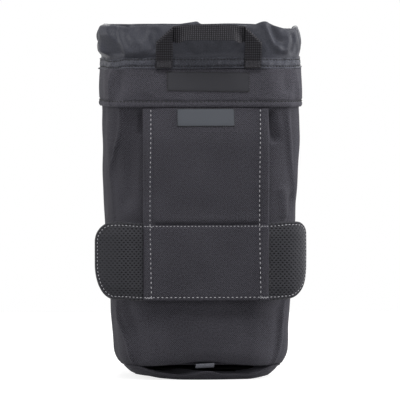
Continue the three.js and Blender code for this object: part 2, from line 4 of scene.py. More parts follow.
import bmesh
import bpy
import mathutils
import numpy as np
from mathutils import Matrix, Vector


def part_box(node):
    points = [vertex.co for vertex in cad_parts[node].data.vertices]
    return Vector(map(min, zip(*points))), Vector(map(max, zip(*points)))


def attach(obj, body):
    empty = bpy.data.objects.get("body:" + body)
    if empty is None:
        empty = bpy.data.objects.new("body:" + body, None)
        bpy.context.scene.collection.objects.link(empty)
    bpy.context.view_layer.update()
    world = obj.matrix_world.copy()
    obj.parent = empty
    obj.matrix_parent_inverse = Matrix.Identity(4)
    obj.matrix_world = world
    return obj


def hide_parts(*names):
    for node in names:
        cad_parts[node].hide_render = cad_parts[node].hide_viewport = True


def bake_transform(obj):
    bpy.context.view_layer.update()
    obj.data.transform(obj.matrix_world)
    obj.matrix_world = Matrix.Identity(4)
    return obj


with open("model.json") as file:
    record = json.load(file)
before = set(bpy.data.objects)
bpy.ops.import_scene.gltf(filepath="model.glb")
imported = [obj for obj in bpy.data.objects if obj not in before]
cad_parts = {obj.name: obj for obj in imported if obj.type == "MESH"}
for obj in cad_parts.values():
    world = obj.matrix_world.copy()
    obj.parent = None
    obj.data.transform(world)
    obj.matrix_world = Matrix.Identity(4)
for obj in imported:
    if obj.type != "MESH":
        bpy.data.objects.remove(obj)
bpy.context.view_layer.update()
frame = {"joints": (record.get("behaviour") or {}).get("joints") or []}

MM = 0.001
X, Y, Z = 0, 1, 2


def span(node, axis):
    """A node's lowest and highest coordinate along an axis, in millimetres."""
    low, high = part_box(node)
    return low[axis] / MM, high[axis] / MM


def spans(node):
    """A node's span along each axis."""
    return [span(node, axis) for axis in (X, Y, Z)]


def joint_place(name):
    """A point on a hinge's axis, in millimetres."""
    joint = next(joint for joint in frame["joints"] if joint["name"] == name)
    return [c / MM for c in joint["pos_m"]]


# Levels and depths that the frame gives.
REAR = -span("rear_panel", Y)[0]
BODY_BOTTOM = span("rear_panel", Z)[0]
BAND_BOTTOM, BAND_TOP = span("mouth_band", Z)
PAD_TOP = span("rear_pad", Z)[1]
TAPE_BOTTOM, TAPE_TOP = span("collar_seam_tape", Z)
SLEEVE_BOTTOM, SLEEVE_TOP = span("collar_sleeve", Z)
HEM_BOTTOM, HEM_TOP = span("collar_hem", Z)
FLAP_BOTTOM, FLAP_TOP = span("flap_panel", Z)
FLAP_HALF = span("flap_binding_right", X)[1]
PANEL_HALF = span("flap_panel", X)[1]
WING_TOP = span("left_wing_mesh", Z)[1]
WING_ROOT = span("right_wing_mesh", X)[0]
TRAY_TOP = span("pocket_tray", Z)[1]

# Plan of the pouch: a rounded rectangle with bowed sides, narrower towards the foot.
CORNER_RADIUS = 24.0
SIDE_CROWN = 1.6
TAPER = 7.0
FRONT_TAPER = 6.0
MOUTH_HALF = span("band_stiffener", X)[1] - SIDE_CROWN
MOUTH_FRONT = span("band_stiffener", Y)[1] - SIDE_CROWN
ARC_SHARE = 0.2


def mix(a, b, t):
    return a + (b - a) * t


def smooth(t):
    """0 below 0, 1 above 1, and an S-curve between."""
    t = np.clip(t, 0, 1)
    return t * t * (3 - 2 * t)


def bell(distance, width):
    """1 at no distance, falling off to nearly 0 at twice the width."""
    return np.exp(-((distance / width) ** 2))


def lengths_along(line):
    """Lengths from a line's start to each of its points."""
    return np.concatenate([[0], np.cumsum(np.linalg.norm(np.diff(line, axis=0), axis=1))])


def around(count):
    """Evenly spaced places round the plan, as one row."""
    return np.linspace(0, 4, count, endpoint=False)[None, :]


def plan_angle(u):
    """Direction that the wall faces, in radians. u runs 0 to 4: rear, right, front, left side."""
    side = np.floor(u)
    s = u - side
    turn = np.where(s < ARC_SHARE, s / ARC_SHARE - 1, 0)
    turn = np.where(s > 1 - ARC_SHARE, 1 - (1 - s) / ARC_SHARE, turn)
    return (side - 1) * np.pi / 2 + turn * np.pi / 4


def plan(u, z, out=0.0):
    """Points that lie a distance outside the wall's plan at height z."""
    u, z, out = np.broadcast_arrays(np.asarray(u, float), np.asarray(z, float), np.asarray(out, float))
    side = np.floor(u)
    s = u - side
    side = side.astype(int) % 4
    t = np.clip((z - BODY_BOTTOM) / (BAND_BOTTOM - BODY_BOTTOM), 0, 1)
    half = MOUTH_HALF - TAPER * (1 - t) - CORNER_RADIUS
    front = MOUTH_FRONT - FRONT_TAPER * (1 - t) - CORNER_RADIUS
    rear = REAR - CORNER_RADIUS
    x_sign = np.array([-1, 1, 1, -1])
    along = np.clip((s - ARC_SHARE) / (1 - 2 * ARC_SHARE), 0, 1)
    first, last = side, (side + 1) % 4
    x = half * mix(x_sign[first], x_sign[last], along)
    y = mix(np.where(first < 2, -rear, front), np.where(last < 2, -rear, front), along)
    angle = plan_angle(u)
    crown = np.where(side == 0, 0, SIDE_CROWN * np.sin(np.pi * along) ** 2)
    reach = CORNER_RADIUS + out + crown
    return np.stack([x + reach * np.cos(angle), y + reach * np.sin(angle), z], axis=-1)


def ring_plan(u, z, out):
    """As plan, with the mouth's width at every height."""
    points = plan(u, np.full(np.broadcast(u, z, out).shape, BAND_TOP), out)
    points[..., Z] = z
    return points


def facing(u):
    """Directions that the wall faces."""
    angle = plan_angle(np.asarray(u, float))
    return np.stack([np.cos(angle), np.sin(angle), np.zeros_like(angle)], axis=-1)


# Places along half of the plan from the middle of the belt side, and the lengths of the plan up to them.
MIDDLE_LEVEL = 100.0
TURNS = np.linspace(0, 2, 801)
TURN_RUNS = lengths_along(plan(0.5 + TURNS, MIDDLE_LEVEL))
SEEN_TURN = 0.95


def run_of(u):
    """Signed length along the plan from the middle of the belt side."""
    turn = (np.asarray(u, float) + 1.5) % 4 - 2
    return np.sign(turn) * np.interp(np.abs(turn), TURNS, TURN_RUNS)


def on_wall(*places):
    """Places (x, z) seen from the belt side, as (run, z) along the wall."""
    seen = TURNS < SEEN_TURN
    line = []
    for x, z in places:
        half = plan(0.5 + TURNS[seen], z)[:, X]
        line.append((math.copysign(np.interp(abs(x), half, TURN_RUNS[seen]), x), z))
    return line


def before_rear(x, z, out):
    """Points that lie a distance in front of the rear wall's plane."""
    x, z, out = np.broadcast_arrays(x, z, out)
    return np.stack([x, -REAR - out, z], axis=-1)


def ripple(points, wavelength, seed, waves=8):
    """Smooth, repeatable noise of about -1 to 1 over points in space."""
    rng = np.random.default_rng(seed)
    directions = rng.normal(size=(waves, 3))
    directions /= np.linalg.norm(directions, axis=1)[:, None]
    stretch = rng.uniform(0.6, 1.5, waves)
    phases = rng.uniform(0, 2 * np.pi, waves)
    total = np.zeros(points.shape[:-1])
    for direction, scale, phase in zip(directions, stretch, phases):
        total += np.sin(2 * np.pi * scale / wavelength * (points @ direction) + phase)
    return total / math.sqrt(2 * waves)


def ripples(points, *kinds):
    """Sum of several ripples, each given as (height, wavelength, seed)."""
    return sum(height * ripple(points, wavelength, seed) for height, wavelength, seed in kinds)


def to_path(a, b, path):
    """Signed distance from points (a, b) to a line of (a, b) pairs, and how far along it they lie."""
    path = np.array(path, float)
    runs = np.diff(path, axis=0)
    lengths = np.linalg.norm(runs, axis=1)
    starts = lengths_along(path)
    best = np.full(np.broadcast(a, b).shape, np.inf)
    share = np.zeros_like(best)
    for start, run, length, before in zip(path, runs, lengths, starts):
        da, db = a - start[0], b - start[1]
        t = np.clip((da * run[0] + db * run[1]) / length**2, 0, 1)
        ea, eb = da - t * run[0], db - t * run[1]
        sign = np.where(run[0] * eb - run[1] * ea >= 0, 1, -1)
        distance = np.hypot(ea, eb)
        nearer = distance < np.abs(best)
        best = np.where(nearer, sign * distance, best)
        share = np.where(nearer, (before + t * length) / starts[-1], share)
    return best, share


def crease(a, b, path, width, height, taper):
    """A fold along a line of (a, b) pairs: a rounded ridge, or a valley where height is below 0."""
    distance, share = to_path(a, b, path)
    fade = smooth(share / taper) * smooth((1 - share) / taper)
    return height * bell(distance, width) * fade


def fold_sum(run, z, folds, taper):
    """Height of a list of folds: (places seen from the belt side, width, height) of each."""
    lines = [(on_wall(*places), width, height) for places, width, height in folds]
    return sum(crease(run, z, *line, taper) for line in lines)


def spline(points, count):
    """A smooth line through points, evenly spaced by chord."""
    points = np.array(points, float)
    chord = lengths_along(points)
    slope = np.gradient(points, chord, axis=0)
    at = np.linspace(0, chord[-1], count)
    i = np.clip(np.searchsorted(chord, at, side="right") - 1, 0, len(chord) - 2)
    h = (chord[i + 1] - chord[i])[:, None]
    t = ((at - chord[i])[:, None]) / h
    start, leave = (1 + 2 * t) * (1 - t) ** 2, t * (1 - t) ** 2 * h
    end, arrive = t * t * (3 - 2 * t), t * t * (t - 1) * h
    return start * points[i] + leave * slope[i] + end * points[i + 1] + arrive * slope[i + 1]


# Settling cloth: how firmly it resists shear and bending, beside 1 for its threads, and its first shake.
SHEAR_STIFFNESS = 0.4
BEND_STIFFNESS = 0.25
START_JITTER = 0.15


def settle(points, growth, hold, steps, seed):
    """Lets a closed ring of spare cloth buckle into folds, by moving its points until its threads fit.

    growth is the spare length across and along, hold how firmly each point keeps its place (1: fixed).
    """
    rows, cols = points.shape[:2]
    index = np.arange(rows * cols).reshape(rows, cols)
    wide = np.concatenate([index, index[:, :2]], axis=1)
    across, along = (np.broadcast_to(share, (rows, cols)).ravel() for share in growth)
    links = []

    def link(a, b, parity, spare, stiff):
        a, b, parity = (np.broadcast_to(part, a.shape).ravel() for part in (a, b, parity))
        for odd in (0, 1):
            chosen = parity % 2 == odd
            links.append((a[chosen], b[chosen], spare, stiff))

    col = np.arange(cols)[None, :]
    row = np.arange(rows)[:, None]
    beside, both = wide[:, 1:-1], (across + along) / 2
    link(index, beside, col, across, 1.0)
    link(index[:-1], index[1:], row[:-1], along, 1.0)
    link(index[:-1], beside[1:], row[:-1], both, SHEAR_STIFFNESS)
    link(beside[:-1], index[1:], row[:-1], both, SHEAR_STIFFNESS)
    link(index, wide[:, 2:], col // 2, across, BEND_STIFFNESS)
    link(index[:-2], index[2:], row[:-2] // 2, along, BEND_STIFFNESS)
    home = points.reshape(-1, 3)
    hold = np.broadcast_to(hold, (rows, cols)).ravel()[:, None]
    rests = [np.linalg.norm(home[b] - home[a], axis=1) * (1 + spare[a]) for a, b, spare, _ in links]
    noise = np.random.default_rng(seed).normal(scale=START_JITTER, size=home.shape)
    place = home + noise * (1 - hold)
    for _ in range(steps):
        for (a, b, _, stiff), rest in zip(links, rests):
            gap = place[b] - place[a]
            length = np.linalg.norm(gap, axis=1)
            move = (0.5 * stiff * (1 - rest / length))[:, None] * gap
            place[a] += move
            place[b] -= move
        place += hold * (home - place)
    return place.reshape(points.shape)


# Meshes.
SHARP_ANGLE = math.radians(60)


def cloth_map(points, wrap):
    """Lengths along a grid's rows and columns, in millimetres, for a weave to follow."""
    closed = np.concatenate([points, points[:, :1]], axis=1) if wrap else points
    rows, cols = closed.shape[:2]
    across, up = lengths_along(closed[rows // 2]), lengths_along(closed[:, cols // 2])
    return np.stack(np.meshgrid(across, up), axis=-1)


def put(name, data, place=(0, 0, 0)):
    """Adds an object to the scene."""
    item = bpy.data.objects.new(name, data)
    item.location = place
    bpy.context.scene.collection.objects.link(item)
    return item


def add_object(name, points, faces, look, maps=None):
    """A smooth mesh of points and faces, with cloth coordinates for every corner of its faces."""
    mesh = bpy.data.meshes.new(name)
    mesh.from_pydata((points * MM).tolist(), [], faces.tolist())
    if maps is not None:
        layer = mesh.uv_layers.new(name="cloth")
        layer.data.foreach_set("uv", maps.astype(np.float32).ravel())
    mesh.polygons.foreach_set("use_smooth", np.ones(len(mesh.polygons), bool))
    mesh.materials.append(look)
    return put(name, mesh)


def grid_faces(rows, cols, wrap):
    """Corner indices (row, column) of a grid's quads, facing out where columns run anticlockwise."""
    r, c = np.meshgrid(np.arange(rows - 1), np.arange(cols if wrap else cols - 1), indexing="ij")
    r, c = r.ravel(), c.ravel()
    row = np.stack([r, r, r + 1, r + 1], axis=1)
    col = np.stack([c, c + 1, c + 1, c], axis=1)
    return row, col


def grid(name, points, look, wrap=False, thickness=0.0, offset=-1, maps=None):
    """A sheet over a grid of points, with a thickness behind its face."""
    rows, cols = points.shape[:2]
    row, col = grid_faces(rows, cols, wrap)
    maps = cloth_map(points, wrap) if maps is None else maps
    piece = add_object(name, points.reshape(-1, 3), row * cols + col % cols, look, maps[row, col])
    if thickness:
        thicken(piece, thickness, offset)
    return piece


def thicken(piece, thickness, offset=-1):
    """Gives a sheet a thickness: behind its face, or on both sides where offset is 0."""
    shell = piece.modifiers.new("thickness", "SOLIDIFY")
    shell.thickness = thickness * MM
    shell.offset = offset


def refine(piece, levels):
    """Rounds a coarse grid off before it gets its thickness."""
    finer = piece.modifiers.new("refine", "SUBSURF")
    finer.levels = finer.render_levels = levels


def slab(name, front, back, look, maps=None):
    """A closed piece between two grids of points, whose sides join their borders."""
    rows, cols = front.shape[:2]
    row, col = grid_faces(rows, cols, False)
    face = row * cols + col
    down, along = np.arange(rows - 1), np.arange(cols - 1)
    border = np.concatenate([
        along,
        down * cols + cols - 1,
        rows * cols - 1 - along,
        (rows - 1 - down) * cols,
    ])
    follow = np.roll(border, -1)
    size = rows * cols
    sides = np.stack([border, border + size, follow + size, follow], axis=1)
    faces = np.concatenate([face, face[:, ::-1] + size, sides])
    maps = cloth_map(front, False) if maps is None else maps
    points = np.concatenate([front.reshape(-1, 3), back.reshape(-1, 3)])
    piece = add_object(name, points, faces, look, maps.reshape(-1, 2)[faces % size])
    piece.data.set_sharp_from_angle(angle=SHARP_ANGLE)
    return piece


def fill_ends(piece):
    """Closes every open border of a mesh with one face, and turns its faces outwards."""
    work = bmesh.new()
    work.from_mesh(piece.data)
    bmesh.ops.holes_fill(work, edges=[e for e in work.edges if e.is_boundary])
    bmesh.ops.recalc_face_normals(work, faces=work.faces)
    work.to_mesh(piece.data)
    work.free()


def strands(name, rings, look):
    """One mesh of many short rods, given as ring points (rod, ring, side, xyz)."""
    count, steps, sides = rings.shape[:3]
    row, col = grid_faces(steps, sides, True)
    one = row * sides + col % sides
    faces = (one[None] + steps * sides * np.arange(count)[:, None, None]).reshape(-1, 4)
    piece = add_object(name, rings.reshape(-1, 3), faces, look)
    fill_ends(piece)
    return piece


# Rows of stitches are given as (pitch, length of a stitch, radius of the thread).
STITCH_SIDES = 6
STITCH_RINGS = 6
STITCH_SINK = 0.35
OUTWARD = (0, -1, 0)


def stitch_points(path, normals, pitch, dash, radius):
    """Short thread loops along a line: ring points of every stitch, (stitch, ring, side, xyz)."""
    path = np.asarray(path, float)
    lengths = lengths_along(path)
    count = max(1, int(round(lengths[-1] / pitch)))
    step = lengths[-1] / count
    share = np.linspace(-1, 1, STITCH_RINGS)
    at = (np.arange(count)[:, None] + 0.5) * step + 0.5 * dash * share[None, :]
    at = np.clip(at, 0, lengths[-1])

    def sample(table):
        return np.stack([np.interp(at, lengths, table[:, k]) for k in range(3)], axis=-1)

    centre = sample(path)
    normal = sample(np.broadcast_to(np.asarray(normals, float), path.shape))
    normal /= np.linalg.norm(normal, axis=-1, keepdims=True)
    tangent = np.gradient(centre, axis=1)
    tangent /= np.linalg.norm(tangent, axis=-1, keepdims=True) + 1e-9
    side = np.cross(tangent, normal)
    swell = np.sqrt(np.clip(1 - share**4, 0.02, 1))
    lift = radius * (1 - STITCH_SINK) - 2 * radius * np.abs(share) ** 3
    turn = np.linspace(0, 2 * np.pi, STITCH_SIDES, endpoint=False)[None, None, :, None]
    girth = (radius * swell)[None, :, None, None]
    base = (centre + normal * lift[None, :, None])[:, :, None]
    return base + girth * (np.cos(turn) * side[:, :, None] + np.sin(turn) * normal[:, :, None])


def stitching(name, rows, look):
    """One piece of several rows of stitches."""
    return strands(name, np.concatenate(rows), look)


def stand_for(piece, slot, *nodes):
    """Hides the CAD nodes that a piece stands in for."""
    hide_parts(*nodes)


def dress(piece, slot, body, *nodes):
    """As stand_for, for a piece that moves with one body."""
    stand_for(piece, slot, *nodes)
    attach(piece, body)


# Materials.
class Look:
    """A material under construction."""

    def __init__(self, name):
        self.material = bpy.data.materials.new(name)
        self.material.use_nodes = True
        self.tree = self.material.node_tree
        self.shader = self.tree.nodes["Principled BSDF"]

    def add(self, kind, **inputs):
        node = self.tree.nodes.new(kind)
        for name, value in inputs.items():
            self.feed(node.inputs[name.replace("_", " ")], value)
        return node

    def feed(self, socket, value):
        if isinstance(value, bpy.types.NodeSocket):
            self.tree.links.new(value, socket)
        else:
            socket.default_value = value

    def calc(self, operation, a, b=0.0, c=0.0):
        node = self.tree.nodes.new("ShaderNodeMath")
        node.operation = operation
        for socket, value in zip(node.inputs, (a, b, c)):
            self.feed(socket, value)
        return node.outputs[0]

    def cloth(self):
        """The cloth's own coordinates, in millimetres, as a vector and its two parts."""
        node = self.tree.nodes.new("ShaderNodeUVMap")
        node.uv_map = "cloth"
        parts = self.add("ShaderNodeSeparateXYZ", Vector=node.outputs[0])
        return node.outputs[0], parts.outputs[0], parts.outputs[1]

    def noise(self, vector, scale, detail=3.0):
        return self.add("ShaderNodeTexNoise", Vector=vector, Scale=scale, Detail=detail).outputs[0]

    def place(self):
        """A point's own coordinates, in metres."""
        return self.tree.nodes.new("ShaderNodeTexCoord").outputs["Object"]

    def tones(self, factor, dark, light):
        """A colour between two others."""
        node = self.tree.nodes.new("ShaderNodeMix")
        node.data_type = "RGBA"
        self.feed(node.inputs[0], factor)
        for index, colour in ((6, dark), (7, light)):
            wired = isinstance(colour, bpy.types.NodeSocket)
            self.feed(node.inputs[index], colour if wired else (*colour, 1))
        return node.outputs[2]

    def bump(self, height, distance):
        node = self.add("ShaderNodeBump", Height=height, Distance=distance * MM, Strength=1.0)
        self.feed(self.shader.inputs["Normal"], node.outputs[0])

    def finish(self, colour, roughness, specular, sheen=0.0, sheen_roughness=0.5):
        self.feed(self.shader.inputs["Base Color"], colour)
        self.feed(self.shader.inputs["Roughness"], roughness)
        self.feed(self.shader.inputs["Specular IOR Level"], specular)
        self.shader.inputs["Sheen Weight"].default_value = sheen
        self.shader.inputs["Sheen Roughness"].default_value = sheen_roughness
        return self.material


def linear(*srgb):
    """Linear colour of 8-bit sRGB values."""
    share = np.array(srgb) / 255
    return tuple(np.where(share <= 0.04045, share / 12.92, ((share + 0.055) / 1.055) ** 2.4).tolist())


def shade(colour, factor):
    return tuple(factor * c for c in colour)


def woven(name, colour, pitch, roughness, specular, contrast=0.3, sheen=0.0, relief=0.12, twill=False):
    """Woven cloth: crossing threads, uneven yarn and soft patches of tone."""
    look = Look(name)
    vector, across, up = look.cloth()
    per_thread = np.pi / pitch
    if twill:
        diagonal = look.calc("ADD", across, up)
        threads = look.calc("SINE", look.calc("MULTIPLY", diagonal, 2 * per_thread))
    else:
        warp = look.calc("SINE", look.calc("MULTIPLY", across, per_thread))
        weft = look.calc("SINE", look.calc("MULTIPLY", up, per_thread))
        threads = look.calc("MULTIPLY", warp, weft)
    fibres = look.noise(vector, 1.6 / pitch)
    slubs = look.noise(vector, 0.8 / pitch, 2.0)
    patches = look.noise(look.place(), 35.0)
    height = look.calc("MULTIPLY_ADD", threads, 0.4, look.calc("ADD", fibres, slubs))
    tone = look.calc("MULTIPLY_ADD", threads, 0.3, look.calc("MULTIPLY_ADD", patches, 0.3, -0.7))
    tone = look.calc("MULTIPLY_ADD", slubs, 1.1, look.calc("ADD", tone, fibres))
    base = look.tones(tone, shade(colour, 1 - contrast), shade(colour, 1 + contrast))
    look.bump(height, relief)
    rough = look.calc("MULTIPLY_ADD", fibres, 0.25, roughness - 0.12)
    return look.finish(base, rough, specular, sheen)


RIB_PITCH = 1.1
RIB_ROW = 1.25


def ribbed(name, colour):
    """Webbing: rows of short raised yarns across its width, with painted highlight on the yarns and
    painted shade between them.
    """
    look = Look(name)
    vector, across, up = look.cloth()
    place = look.calc("DIVIDE", across, RIB_ROW)
    phase = look.calc("MULTIPLY", up, 2 * np.pi / RIB_PITCH)
    along = look.calc("MULTIPLY_ADD", look.calc("COSINE", phase), 0.5, 0.5)
    beside = look.calc("ABSOLUTE", look.calc("SINE", look.calc("MULTIPLY", place, np.pi)))
    rib = look.calc("MULTIPLY", along, look.calc("SQRT", beside))
    fibres = look.noise(vector, 3.0)
    # Tone follows the ribs: the weave's own pattern, with painted highlight on their tops and painted
    # shade between them.
    tone = look.calc("MULTIPLY_ADD", fibres, 0.5, look.calc("MULTIPLY_ADD", rib, 1.1, -0.3))
    look.bump(look.calc("ADD", rib, fibres), 0.1)
    return look.finish(look.tones(tone, shade(colour, 0.1), shade(colour, 1.9)), 0.6, 0.1)


def fibrous(name, colour, scale, dark, light, roughness, specular, sheen, relief=0.0):
    """Thread or pile: fine fibres in shades of one colour."""
    look = Look(name)
    fibres = look.noise(look.place(), scale)
    if relief:
        look.bump(fibres, relief)
    base = look.tones(fibres, shade(colour, dark), shade(colour, light))
    return look.finish(base, roughness, specular, sheen)


HOLE_PITCH = 2.5
HOLE_ROW = 1.35
HOLE_WIDTH = 0.72
HOLE_HEIGHT = 0.5
KNIT_PITCH = 0.55
MESH_OPEN = 9.0
MESH_FADE = 9.0


def hole_share(across, up):
    """How far a point of the wings' mesh lies inside a hole: 1 in its middle, 0 at its rim."""
    row = np.round(up / HOLE_ROW)
    place = across / HOLE_PITCH - 0.5 * (row % 2)
    dx = (place - np.round(place)) * HOLE_PITCH / HOLE_WIDTH
    dz = (up / HOLE_ROW - row) * HOLE_ROW / HOLE_HEIGHT
    return np.clip(1 - np.hypot(dx, dz), 0, 1)


def spacer_mesh(name, colour):
    """Open-hole mesh: the same staggered holes as hole_share, with painted shade inside them, between
    knitted threads.
    """
    look = Look(name)
    vector, across, up = look.cloth()
    level = look.calc("DIVIDE", up, HOLE_ROW)
    row = look.calc("ROUND", level)
    odd = look.calc("MULTIPLY", look.calc("FLOORED_MODULO", row, 2.0), -0.5)
    place = look.calc("ADD", look.calc("DIVIDE", across, HOLE_PITCH), odd)
    dx = look.calc("SUBTRACT", place, look.calc("ROUND", place))
    dx = look.calc("MULTIPLY", dx, HOLE_PITCH / HOLE_WIDTH)
    dz = look.calc("MULTIPLY", look.calc("SUBTRACT", level, row), HOLE_ROW / HOLE_HEIGHT)
    far = look.calc("MULTIPLY_ADD", dx, dx, look.calc("MULTIPLY", dz, dz))
    solid = look.calc("SMOOTH_MIN", far, 1.0, 0.3)
    closing = look.calc("MULTIPLY", look.calc("SUBTRACT", across, MESH_OPEN), 1 / MESH_FADE)
    closing = look.calc("MULTIPLY", look.calc("MINIMUM", look.calc("MAXIMUM", closing, 0.0), 1.0), 0.6)
    solid = look.calc("MAXIMUM", solid, closing)
    fibres = look.noise(vector, 5.0)
    diagonal = look.calc("MULTIPLY", look.calc("ADD", across, up), 2 * np.pi / KNIT_PITCH)
    diagonal = look.calc("SINE", diagonal)
    knit = look.calc("MULTIPLY_ADD", diagonal, 0.15, fibres)
    yarn = look.tones(knit, shade(colour, 0.7), shade(colour, 1.3))
    # Nearly black where there is no yarn: painted shade inside the holes, which fades away from the wing's
    # root.
    base = look.tones(solid, shade(colour, 0.05), yarn)
    look.bump(look.calc("MULTIPLY_ADD", knit, 0.3, solid), 0.12)
    return look.finish(base, 0.5, 0.07, 0.25, 0.3)


def foam(name, colour):
    """Closed-cell foam."""
    look = Look(name)
    cells = look.add("ShaderNodeTexVoronoi", Vector=look.place(), Scale=900.0).outputs["Distance"]
    look.bump(cells, 0.15)
    return look.finish(look.tones(cells, shade(colour, 0.7), shade(colour, 1.2)), 0.9, 0.15)


def satin_metal(name, colour):
    """Metal with a fine, slightly uneven satin finish."""
    look = Look(name)
    wear = look.noise(look.place(), 900.0)
    look.shader.inputs["Metallic"].default_value = 1.0
    look.bump(wear, 0.02)
    rough = look.calc("MULTIPLY_ADD", wear, 0.3, 0.2)
    return look.finish(look.tones(wear, shade(colour, 0.8), shade(colour, 1.2)), rough, 0.5)


CLOTH = linear(61, 60, 66)
NYLON = linear(58, 59, 66)
THREAD = (2500.0, 0.75, 1.25, 0.6, 0.3, 0.1)
PILE = (1800.0, 0.6, 1.5, 0.75, 0.25, 0.15, 0.2)
outer_cloth = woven("outer_cloth", CLOTH, 0.66, 0.75, 0.1, contrast=0.85, relief=0.25)
# The band's cloth is the outer cloth painted lighter: painted light on the band.
band_cloth_painted_light = woven("band_cloth_painted_light", shade(CLOTH, 1.22), 0.66, 0.72, 0.12, contrast=0.85, relief=0.25)
flap_cloth = woven("flap_cloth", CLOTH, 0.66, 0.75, 0.1, contrast=0.85, relief=0.25)
nylon = woven("collar_nylon", NYLON, 0.75, 0.46, 0.14, contrast=0.4, relief=0.03, twill=True)
# The seam tape's cloth is the collar's nylon painted lighter: painted light on the tape.
tape_cloth_painted_light = woven("tape_cloth_painted_light", shade(NYLON, 1.35), 0.8, 0.5, 0.2, contrast=0.85, relief=0.15, twill=True)
webbing = ribbed("webbing", linear(50, 49, 53))
lining_cloth = woven("lining_cloth", linear(98, 99, 105), 0.45, 0.85, 0.15, relief=0.06)
black_label = woven("black_label", linear(57, 57, 61), 0.4, 0.6, 0.1, contrast=0.2, relief=0.03)
grey_label = woven("grey_label", linear(71, 74, 80), 0.4, 0.55, 0.15, contrast=0.12, relief=0.03)
tab_cloth = woven("tab_cloth", linear(102, 103, 110), 0.8, 0.7, 0.15, contrast=0.3)
# The rain cover's cloth is painted near black: painted shade of the dark inside of the pocket.
rain_cloth_painted_shade = woven("rain_cloth_painted_shade", linear(9, 9, 10), 0.5, 0.6, 0.05, contrast=0.5, relief=0.04)
wing_cloth = spacer_mesh("wing_mesh", linear(57, 57, 61))
hook_pile = fibrous("hook_pile", linear(30, 30, 32), *PILE)
loop_pile = fibrous("loop_pile", linear(36, 36, 39), *PILE)
pad_foam = foam("pad_foam", linear(92, 92, 96))
eyelet_metal = satin_metal("eyelet_metal", linear(120, 121, 126))
white_thread = fibrous("white_thread", linear(172, 171, 176), *THREAD)
grey_thread = fibrous("grey_thread", linear(84, 83, 88), *THREAD)
dark_thread = fibrous("dark_thread", linear(20, 20, 22), *THREAD)


# Camera at the photograph's viewing angle, plain soft light and a white floor. The camera's and the lamps'
# places and sizes are in metres.
AZIMUTH, ELEVATION = math.radians(-3.8), math.radians(2.5)
DISTANCE = 3.6
FOCAL_LENGTH = 540.0
SENSOR_WIDTH = 36.0
AIM = np.array([0.0, 0.0, 0.10505])
WORLD_STRENGTH = 0.08
FLOOR_HALF = 600.0
FLOOR_DROP = 0.3
FLOOR_TONE = 0.45
FLOOR_GLOW = 0.8
WHITE = (1, 1, 1, 1)


def studio_camera():
    back = np.array([
        math.sin(AZIMUTH) * math.cos(ELEVATION),
        -math.cos(AZIMUTH) * math.cos(ELEVATION),
        math.sin(ELEVATION),
    ])
    data = bpy.data.cameras.new("camera")
    data.lens = FOCAL_LENGTH
    data.sensor_width = SENSOR_WIDTH
    camera = put("camera", data, AIM + DISTANCE * back)
    camera.rotation_euler = (math.pi / 2 - ELEVATION, 0, AZIMUTH)
    bpy.context.scene.camera = camera


def softbox(name, place, target, size, power):
    data = bpy.data.lights.new(name, "AREA")
    data.shape = "RECTANGLE"
    data.size, data.size_y = size
    data.energy = power
    direction = mathutils.Vector(target) - mathutils.Vector(place)
    put(name, data, place).rotation_euler = direction.to_track_quat("-Z", "Y").to_euler()


def seen_white(tree):
    """1 for rays that look at the background directly, in a mirror or through glass."""
    path = tree.nodes.new("ShaderNodeLightPath")
    rays = ["Is Camera Ray", "Is Glossy Ray", "Is Transmission Ray"]
    total = path.outputs[rays[0]]
    for ray in rays[1:]:
        join = tree.nodes.new("ShaderNodeMath")
        join.operation = "MAXIMUM"
        tree.links.new(total, join.inputs[0])
        tree.links.new(path.outputs[ray], join.inputs[1])
        total = join.outputs[0]
    return total


def look_white(tree, lit, seen, output):
    """Shows a white shader to the rays that look at it, and another to those that light the scene."""
    either = tree.nodes.new("ShaderNodeMixShader")
    for socket, source in zip(either.inputs, (seen_white(tree), lit.outputs[0], seen.outputs[0])):
        tree.links.new(source, socket)
    tree.links.new(either.outputs[0], tree.nodes[output].inputs["Surface"])


def studio_world():
    """A dim white surrounding that looks plain white."""
    world = bpy.data.worlds.new("studio")
    world.use_nodes = True
    tree = world.node_tree
    lit = tree.nodes["Background"]
    lit.inputs["Color"].default_value = WHITE
    lit.inputs["Strength"].default_value = WORLD_STRENGTH
    white = tree.nodes.new("ShaderNodeBackground")
    white.inputs["Color"].default_value = WHITE
    look_white(tree, lit, white, "World Output")
    bpy.context.scene.world = world


def studio_floor():
    """A pale floor that looks white, and keeps a soft shadow."""
    points = FLOOR_HALF * np.array([[-1, -1, 0], [1, -1, 0], [1, 1, 0], [-1, 1, 0]])
    look = Look("floor")
    look.finish((FLOOR_TONE, FLOOR_TONE, FLOOR_TONE, 1), 0.9, 0.1)
    tree = look.tree
    glow = tree.nodes.new("ShaderNodeEmission")
    both = tree.nodes.new("ShaderNodeAddShader")
    glow.inputs["Strength"].default_value = FLOOR_GLOW
    tree.links.new(look.shader.outputs[0], both.inputs[0])
    tree.links.new(glow.outputs[0], both.inputs[1])
    look_white(tree, look.shader, both, "Material Output")
    floor = add_object("floor", points, np.array([[0, 1, 2, 3]]), look.material)
    floor.location.z = -FLOOR_DROP * MM


studio_camera()
studio_world()
studio_floor()
CHEST = (0, 0, 0.11)
softbox("left_box", (-1.2, 0.2, 0.4), CHEST, (0.4, 0.8), 7.0)
softbox("right_box", (1.15, -0.05, 0.4), CHEST, (0.4, 0.8), 15.0)
softbox("top_box", (0.0, -0.7, 1.2), CHEST, (0.9, 0.5), 12.0)
softbox("back_box", (0.3, 1.5, 0.7), CHEST, (1.0, 1.0), 6.0)
softbox("front_box", (-0.3, -1.9, 0.5), CHEST, (1.0, 1.0), 9.5)
bpy.context.scene.view_settings.view_transform = "Standard"

